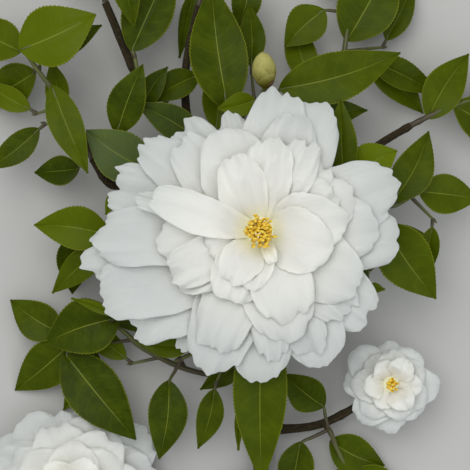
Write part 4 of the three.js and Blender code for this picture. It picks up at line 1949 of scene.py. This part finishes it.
@dataclass
class Studio:
    """Floor, soft light and the camera that looks down on the bloom, in millimetres."""

    lens: float = 135.0
    sensor: float = 36.0
    bloom_level: float = 46.0
    distance: float = 500.0
    floor_side: float = 3000.0
    floor_level: float = -0.6
    floor_thickness: float = 1.0
    sky: Colour = (0.97, 0.99, 1.0, 1)
    sky_strength: float = 0.54
    lamps: tuple[Lamp, ...] = (
        Lamp("key_light", (-0.20, 0.26, 0.82), 0.72, 4.0, (1.0, 0.985, 0.95)),
        Lamp("fill_light", (0.50, -0.30, 0.60), 0.70, 1.3, (0.95, 0.98, 1.0)),
    )

    def build(self, finishes: Finishes) -> None:
        """Set the stage.

        Args:
            finishes: The branch's materials.
        """
        sheet = MeshSheet()
        steps = np.linspace(0, 1, 5)
        sheet.blade(self.floor, 2 * steps - 1, steps, self.floor_thickness)
        sheet.to_object("studio_floor", [finishes.floor])
        world = bpy.data.worlds.new("soft_daylight")
        world.use_nodes = True
        sky = world.node_tree.nodes["Background"]
        sky.inputs["Color"].default_value = self.sky
        sky.inputs["Strength"].default_value = self.sky_strength
        bpy.context.scene.world = world
        for lamp in self.lamps:
            lamp.build()
        bpy.context.scene.view_settings.view_transform = "Standard"
        self.camera()

    def floor(self, u: np.ndarray, v: np.ndarray) -> np.ndarray:
        """Return the floor's places for u, -1 to 1, and v, 0 to 1."""
        side = self.floor_side
        return np.stack([u * side / 2, (v - 0.5) * side, u * 0 + self.floor_level], axis=-1)

    def camera(self) -> None:
        """Put the camera straight above the middle of the picture."""
        data = bpy.data.cameras.new("camera")
        data.lens, data.sensor_width = self.lens, self.sensor
        data.clip_start = 0.01
        camera = bpy.data.objects.new("camera", data)
        camera.location = (
            LAYOUT_SHIFT[0] * MM, LAYOUT_SHIFT[1] * MM, (self.bloom_level + self.distance) * MM,
        )
        bpy.context.scene.collection.objects.link(camera)
        bpy.context.scene.camera = camera


# Direction, reach, width, height at the base and at the tip, and kind of each petal
MAIN_RINGS = {
    "outer": petal_rows([
        (188.5, 52, 19, 29, 34, ROUND), (236, 41, 14, 29, 34, FLAT), (220, 47, 21, 29.5, 35, ROUND),
        (204, 50.5, 23, 30, 36, ROUND), (180.5, 47.5, 18, 31, 37.5, ROUND), (162, 46, 18, 30, 36, NOTCHED),
        (142, 42.5, 15, 31, 37, ROUND), (128, 39, 17, 30, 36.5, NOTCHED), (106, 36.5, 10, 30, 36, POINTED),
        (98, 32, 13, 30, 36.5, FLAT), (80, 41.5, 20, 31, 38, ROUND), (60, 41.5, 19, 30, 37, ROUND),
        (35, 32, 11, 30, 36.5, POINTED), (18, 42.5, 21, 30.5, 37.5, ROUND), (358.5, 41, 21, 30, 36, ROUND),
        (322.5, 41.5, 20, 30, 36, CRINKLED), (298, 43.5, 19, 30, 36, ROUND), (295, 39, 14, 31, 37.5, ROUND),
        (273.5, 43.8, 18, 30, 36.2, ROUND), (249, 43.5, 20, 30.5, 36.5, ROUND),
    ]),
    "middle": petal_rows([
        (166, 37, 6, 33, 39.5, CUPPED), (131, 35, 17, 33, 39, ROUND), (70, 35.8, 16, 33, 39, ROUND),
        (317, 35.5, 16, 33, 38.4, ROUND), (275, 38.5, 13, 33, 38.6, POINTED), (249, 37, 17, 33, 38.8, ROUND),
        (0, 34.5, 20, 33, 39, ROUND), (330, 33.4, 20, 34, 39.6, CRINKLED), (213, 29, 14, 34, 39.4, CRINKLED),
        (186, 29.5, 17, 34, 40, ROUND), (206, 29, 13, 34.6, 40.4, CRINKLED), (284, 32.8, 21, 34, 40, ROUND),
        (23, 29.4, 19, 34.2, 40.4, ROUND), (111, 31.5, 21, 34.2, 40.4, ROUND),
        (46, 27.5, 17, 34.6, 41, CRINKLED),
    ]),
    "inner": petal_rows([
        (140, 15, 13, 35.6, 40.4, ROUND), (244, 22.5, 16, 36, 41.4, CRINKLED), (196, 16, 13, 36, 41.0, ROUND),
        (28, 25, 17, 36.2, 41.6, CRINKLED), (293, 27.8, 18, 36.4, 42, NOTCHED),
        (62, 30, 13, 36.2, 41.6, CRINKLED), (82, 27.5, 14, 36.6, 42, CRINKLED),
        (8, 25.5, 18, 36.6, 42, ROUND), (113, 23.4, 14, 37, 42.4, CRINKLED),
        (348, 21.5, 18.5, 37, 42.4, ROUND),
        (262, 17, 11, 37.2, 42.4, ROUND), (165, 32.5, 11.5, 38.6, 43, CUPPED),
        (238, 17.5, 12, 37.4, 42.6, NOTCHED), (296, 10, 4, 39.4, 44.2, ROUND),
    ]),
}

# Count, reach, width, height at the base and at the tip, and kind of each ring's petals
SECOND_RINGS = {
    "outer": (9, 27, 20, 11, 7, ROUND),
    "lower": (8, 24.5, 20, 12, 8.8, CRINKLED),
    "middle": (7, 20.5, 19, 13.2, 13.6, NOTCHED),
    "upper": (6, 16.5, 16, 14.6, 17, ROUND),
    "inner": (6, 12, 11, 16, 21, CUPPED),
}

RIGHT_RINGS = {
    "outer": (8, 14, 12, 12, 14, ROUND),
    "middle": (7, 11.5, 10, 13, 16, ROUND),
    "inner": (6, 8.5, 8, 14, 17.6, CUPPED),
}

LIMBS = [
    Limb(
        "main_stem", [
            (8, -91, 2.6), (8, -80, 2.6), (8, -60, 4), (7, -29, 7), (-2, -3, 9), (-14, 20, 9),
            (-26, 41, 11), (-31, 51, 13), (-39, 70, 16),
        ], (2.6, 1.2), collar=0.0, rings=260, sides=36, sawn=True,
    ),
    Limb("bough_top", [(-12, 17, 9), (-14, 30, 11), (-15, 49, 14), (-11, 69, 15)], (1.5, 1.1)),
    Limb("bough_left", [(-17, 26, 9.4), (-27, 19, 11), (-37, 15, 13), (-43, 23, 15)], (1.4, 1.2)),
    Limb(
        "bough_right", [(2, -14, 8.3), (18, 3, 10), (33, 19, 13), (43, 27, 14), (53, 33, 15)],
        (1.6, 1.1),
    ),
    Limb(
        "bough_second", [(8, -75, 3.4), (-17, -79, 4), (-40, -80, 4.5), (-48, -78, 7), (-49, -77, 10)],
        (1.6, 1.2),
    ),
    Limb(
        "bough_lower_right", [(8, -60, 4), (26, -58, 6), (41, -50, 6.5), (46, -46, 8.5), (47, -45, 11)],
        (1.4, 0.9),
    ),
    Limb("bloom_stalk", [(-2, -3, 9), (3, -1, 15), (6, 1, 21), (7, 1, 27)], (1.8, 1.5)),
]

SPRAYS = [
    Spray("spray_top_left", [(-39, 70, 16), (-40, 78, 17), (-41, 85, 17), (-40, 93, 16)], [
        Leaf((-35, 80, 21), (-30, 62, 22), 8, 0.2), Leaf((-41, 85, 18), (-53, 100, 8), 12, 0.4),
        Leaf((-40, 93, 16), (-32, 110, 0), 12, 0.5), Leaf((-40, 79, 18), (-58, 86, 6), 12, 0.2),
    ]),
    Spray("spray_upper_left", [(-21, 33, 10.2), (-23, 37, 15), (-28, 45, 18), (-30, 53, 18)], [
        Leaf((-31, 55, 18), (-19, 83, 12), 15, 0.15), Leaf((-35, 30, 24), (-27, 50, 29), 11, 0.1),
        Leaf((-28, 38, 20), (-20, 50, 22), 7, 0.1), Leaf((-11, 48, 17), (-25, 40, 17), 9, 0.25),
        Leaf((-10, 28, 20), (-29, 39, 24), 10, -0.4),
    ]),
    Spray("spray_left", [(-43, 23, 15), (-49, 36, 17), (-58, 48, 20), (-63, 55, 20)], [
        Leaf((-64, 55, 22), (-41, 65, 26), 18, 0.65), Leaf((-54, 44, 27), (-43, 18, 31), 10, 0.4),
        Leaf((-47, 20, 14), (-61, 19, 9), 9, 0.1), Leaf((-64, 55, 18), (-81, 65, 8), 13, 0.5),
        Leaf((-60, 49, 16), (-80, 42, 0), 13, 0.3),
    ]),
    Spray("spray_bloom_left", [(-6, 5, 9), (-19, 8, 16), (-31, 9, 21), (-42, 1, 17)], [
        Leaf((-25, 19, 24), (-44, 31, 25), 15, -0.9), Leaf((-37, 0, 23), (-60, 3, 19), 13, 0.6),
        Leaf((-34, 13, 29), (-38, 6, 28), 4, 0.8), Leaf((-48, 0, 12), (-50, -18, 4), 11, 0.2),
    ]),
    Spray("spray_top", [(-8, 9, 9), (-4, 22, 17), (2, 35, 22), (7, 40, 25.5), (9, 43.6, 29.4)], [
        Leaf((-2, 37, 26), (-7, 75, 20), 17, 0.2), Leaf((6, 39.5, 30), (-5, 37, 30), 7, 0.6),
        Leaf((13, 43, 26), (49, 54, 23), 15, 0.35),
    ], bare_rings=2, ends_in_bud=False),
    Spray("spray_crown", [(-11, 69, 15), (-9, 76, 16), (-6, 85, 16)], [
        Leaf((-12, 75, 12), (-17, 54, 8), 5, 0.2), Leaf((5, 77, 12), (1, 62, 9), 9, 0.2),
        Leaf((-9, 82, 16), (-23, 98, 5), 14, 0.4), Leaf((-6, 85, 16), (2, 108, 0), 14, 0.3),
    ]),
    Spray("spray_upper_right", [(33, 19, 13), (32, 38, 13), (33, 53, 11), (35, 68, 10), (38, 79, 9)], [
        Leaf((27, 68, 14), (15, 57, 12), 12, 0.4), Leaf((34, 59, 10), (48, 85, 8), 18, 0.3),
        Leaf((41, 53, 13), (62, 43, 9), 9, 0.3), Leaf((36, 73, 9), (25, 92, 3), 14, 0.2),
        Leaf((38, 79, 9), (46, 99, 0), 12, 0.4),
    ]),
    Spray("spray_right", [(53, 33, 15), (61, 37, 16), (71, 41, 14)], [
        Leaf((58, 35, 16), (71, 55, 10), 12, 0.4), Leaf((66, 39, 15), (88, 32, 0), 13, 0.3),
        Leaf((71, 41, 14), (90, 50, 6), 12, 0.5),
    ]),
    Spray("spray_bloom_right", [(18, 3, 10), (30, 8, 17), (41, 8, 21), (48, 9, 21), (55, 13, 20)], [
        Leaf((32, 16, 28), (31, 40, 29), 9, 0.3), Leaf((35, 18, 25), (48, 25, 24), 12, 1.0),
        Leaf((47, 10, 22), (58, 31, 18), 12, 0.3), Leaf((44, 3, 26), (60, -19, 19), 16, 0.4),
        Leaf((39, -15, 29), (44, -16, 28), 3, 0.4), Leaf((55, 13, 20), (74, 11, 10), 12, 0.4),
    ]),
    Spray("spray_lower", [(7, -29, 7), (4, -31, 15), (-6, -33, 19), (-16, -37, 17)], [
        Leaf((8, -25, 28), (8, -74, 20), 16, 0.35), Leaf((1, -52, 16), (1, -65, 14), 2.4, 0.5),
        Leaf((-13, -33, 23), (-29, -32, 20), 7, 0.5), Leaf((-20, -44, 12), (-23, -68, 11), 12, 0.15),
    ]),
    Spray("spray_lower_left", [(7, -43, 5.5), (-11, -42, 8), (-27, -35, 11), (-38, -27, 12), (-50, -33, 9)], [
        Leaf((-35, -25, 14), (-58, -33, 9), 17, 0.2), Leaf((-35, -24, 22), (-49, -19, 18), 3, 0.6),
        Leaf((-52, -36, 8), (-30, -62, 12), 17, 0.1), Leaf((-50, -33, 8), (-68, -48, 0), 14, 0.3),
        Leaf((-53, -30, 9), (-69, -20, 4), 12, 0.3),
    ]),
    Spray("spray_lower_right", [(27, -57.5, 6), (29, -60, 10), (31, -65, 9), (35, -73, 5)], [
        Leaf((27, -52, 12), (15, -42, 13), 11, 0.2), Leaf((29, -63, 7), (46, -71, 3), 12, 0.3),
        Leaf((34, -70, 6), (36, -90, 0), 12, 0.3), Leaf((20, -63, 9), (17, -82, 2), 11, 0.2),
        Leaf((35, -73, 5), (54, -82, 1), 12, 0.4),
    ]),
]


def main() -> None:
    """Build the branch class by class."""
    logging.basicConfig(level=logging.INFO, format="%(name)s: %(message)s")
    finishes = Finishes()
    Studio().build(finishes)
    blooms = [
        Bloom(
            "bloom_main", (7, 1), calyx=25, heart=47, core_radius=7, rings=MAIN_RINGS,
            tuft=StamenTuft(), rim_reach=40,
        ),
        Bloom(
            "bloom_second", (-49, -77), calyx=8, heart=22, core_radius=5,
            rings=ruled_petals(41, SECOND_RINGS), tuft=StamenTuft(count=50, spread=1.4, length=6.0),
            rim_reach=25, across_steps=33, along_steps=24, sepal_rise=0.1,
        ),
        Bloom(
            "bloom_right", (47, -45), calyx=9.5, heart=18, core_radius=3.5,
            rings=ruled_petals(7, RIGHT_RINGS), tuft=StamenTuft(count=24, spread=0.8, length=3.5),
            rim_reach=13, across_steps=25, along_steps=18, sepal_rise=0.9,
        ),
    ]
    room = Room()
    for limb in LIMBS:
        limb.claim(room)
        limb.build(finishes)
    for bloom in blooms:
        bloom.claim(room)
    for order, spray in enumerate(SPRAYS):
        spray.claim(room, 100 * order + 1)
    for order, spray in enumerate(SPRAYS):
        spray.branch_out(room, 100 * order + 1)
        spray.build(finishes, 100 * order + 1)
    Bud().build(finishes)
    for bloom in blooms:
        bloom.build(finishes)


if __name__ == "__main__":
    main()
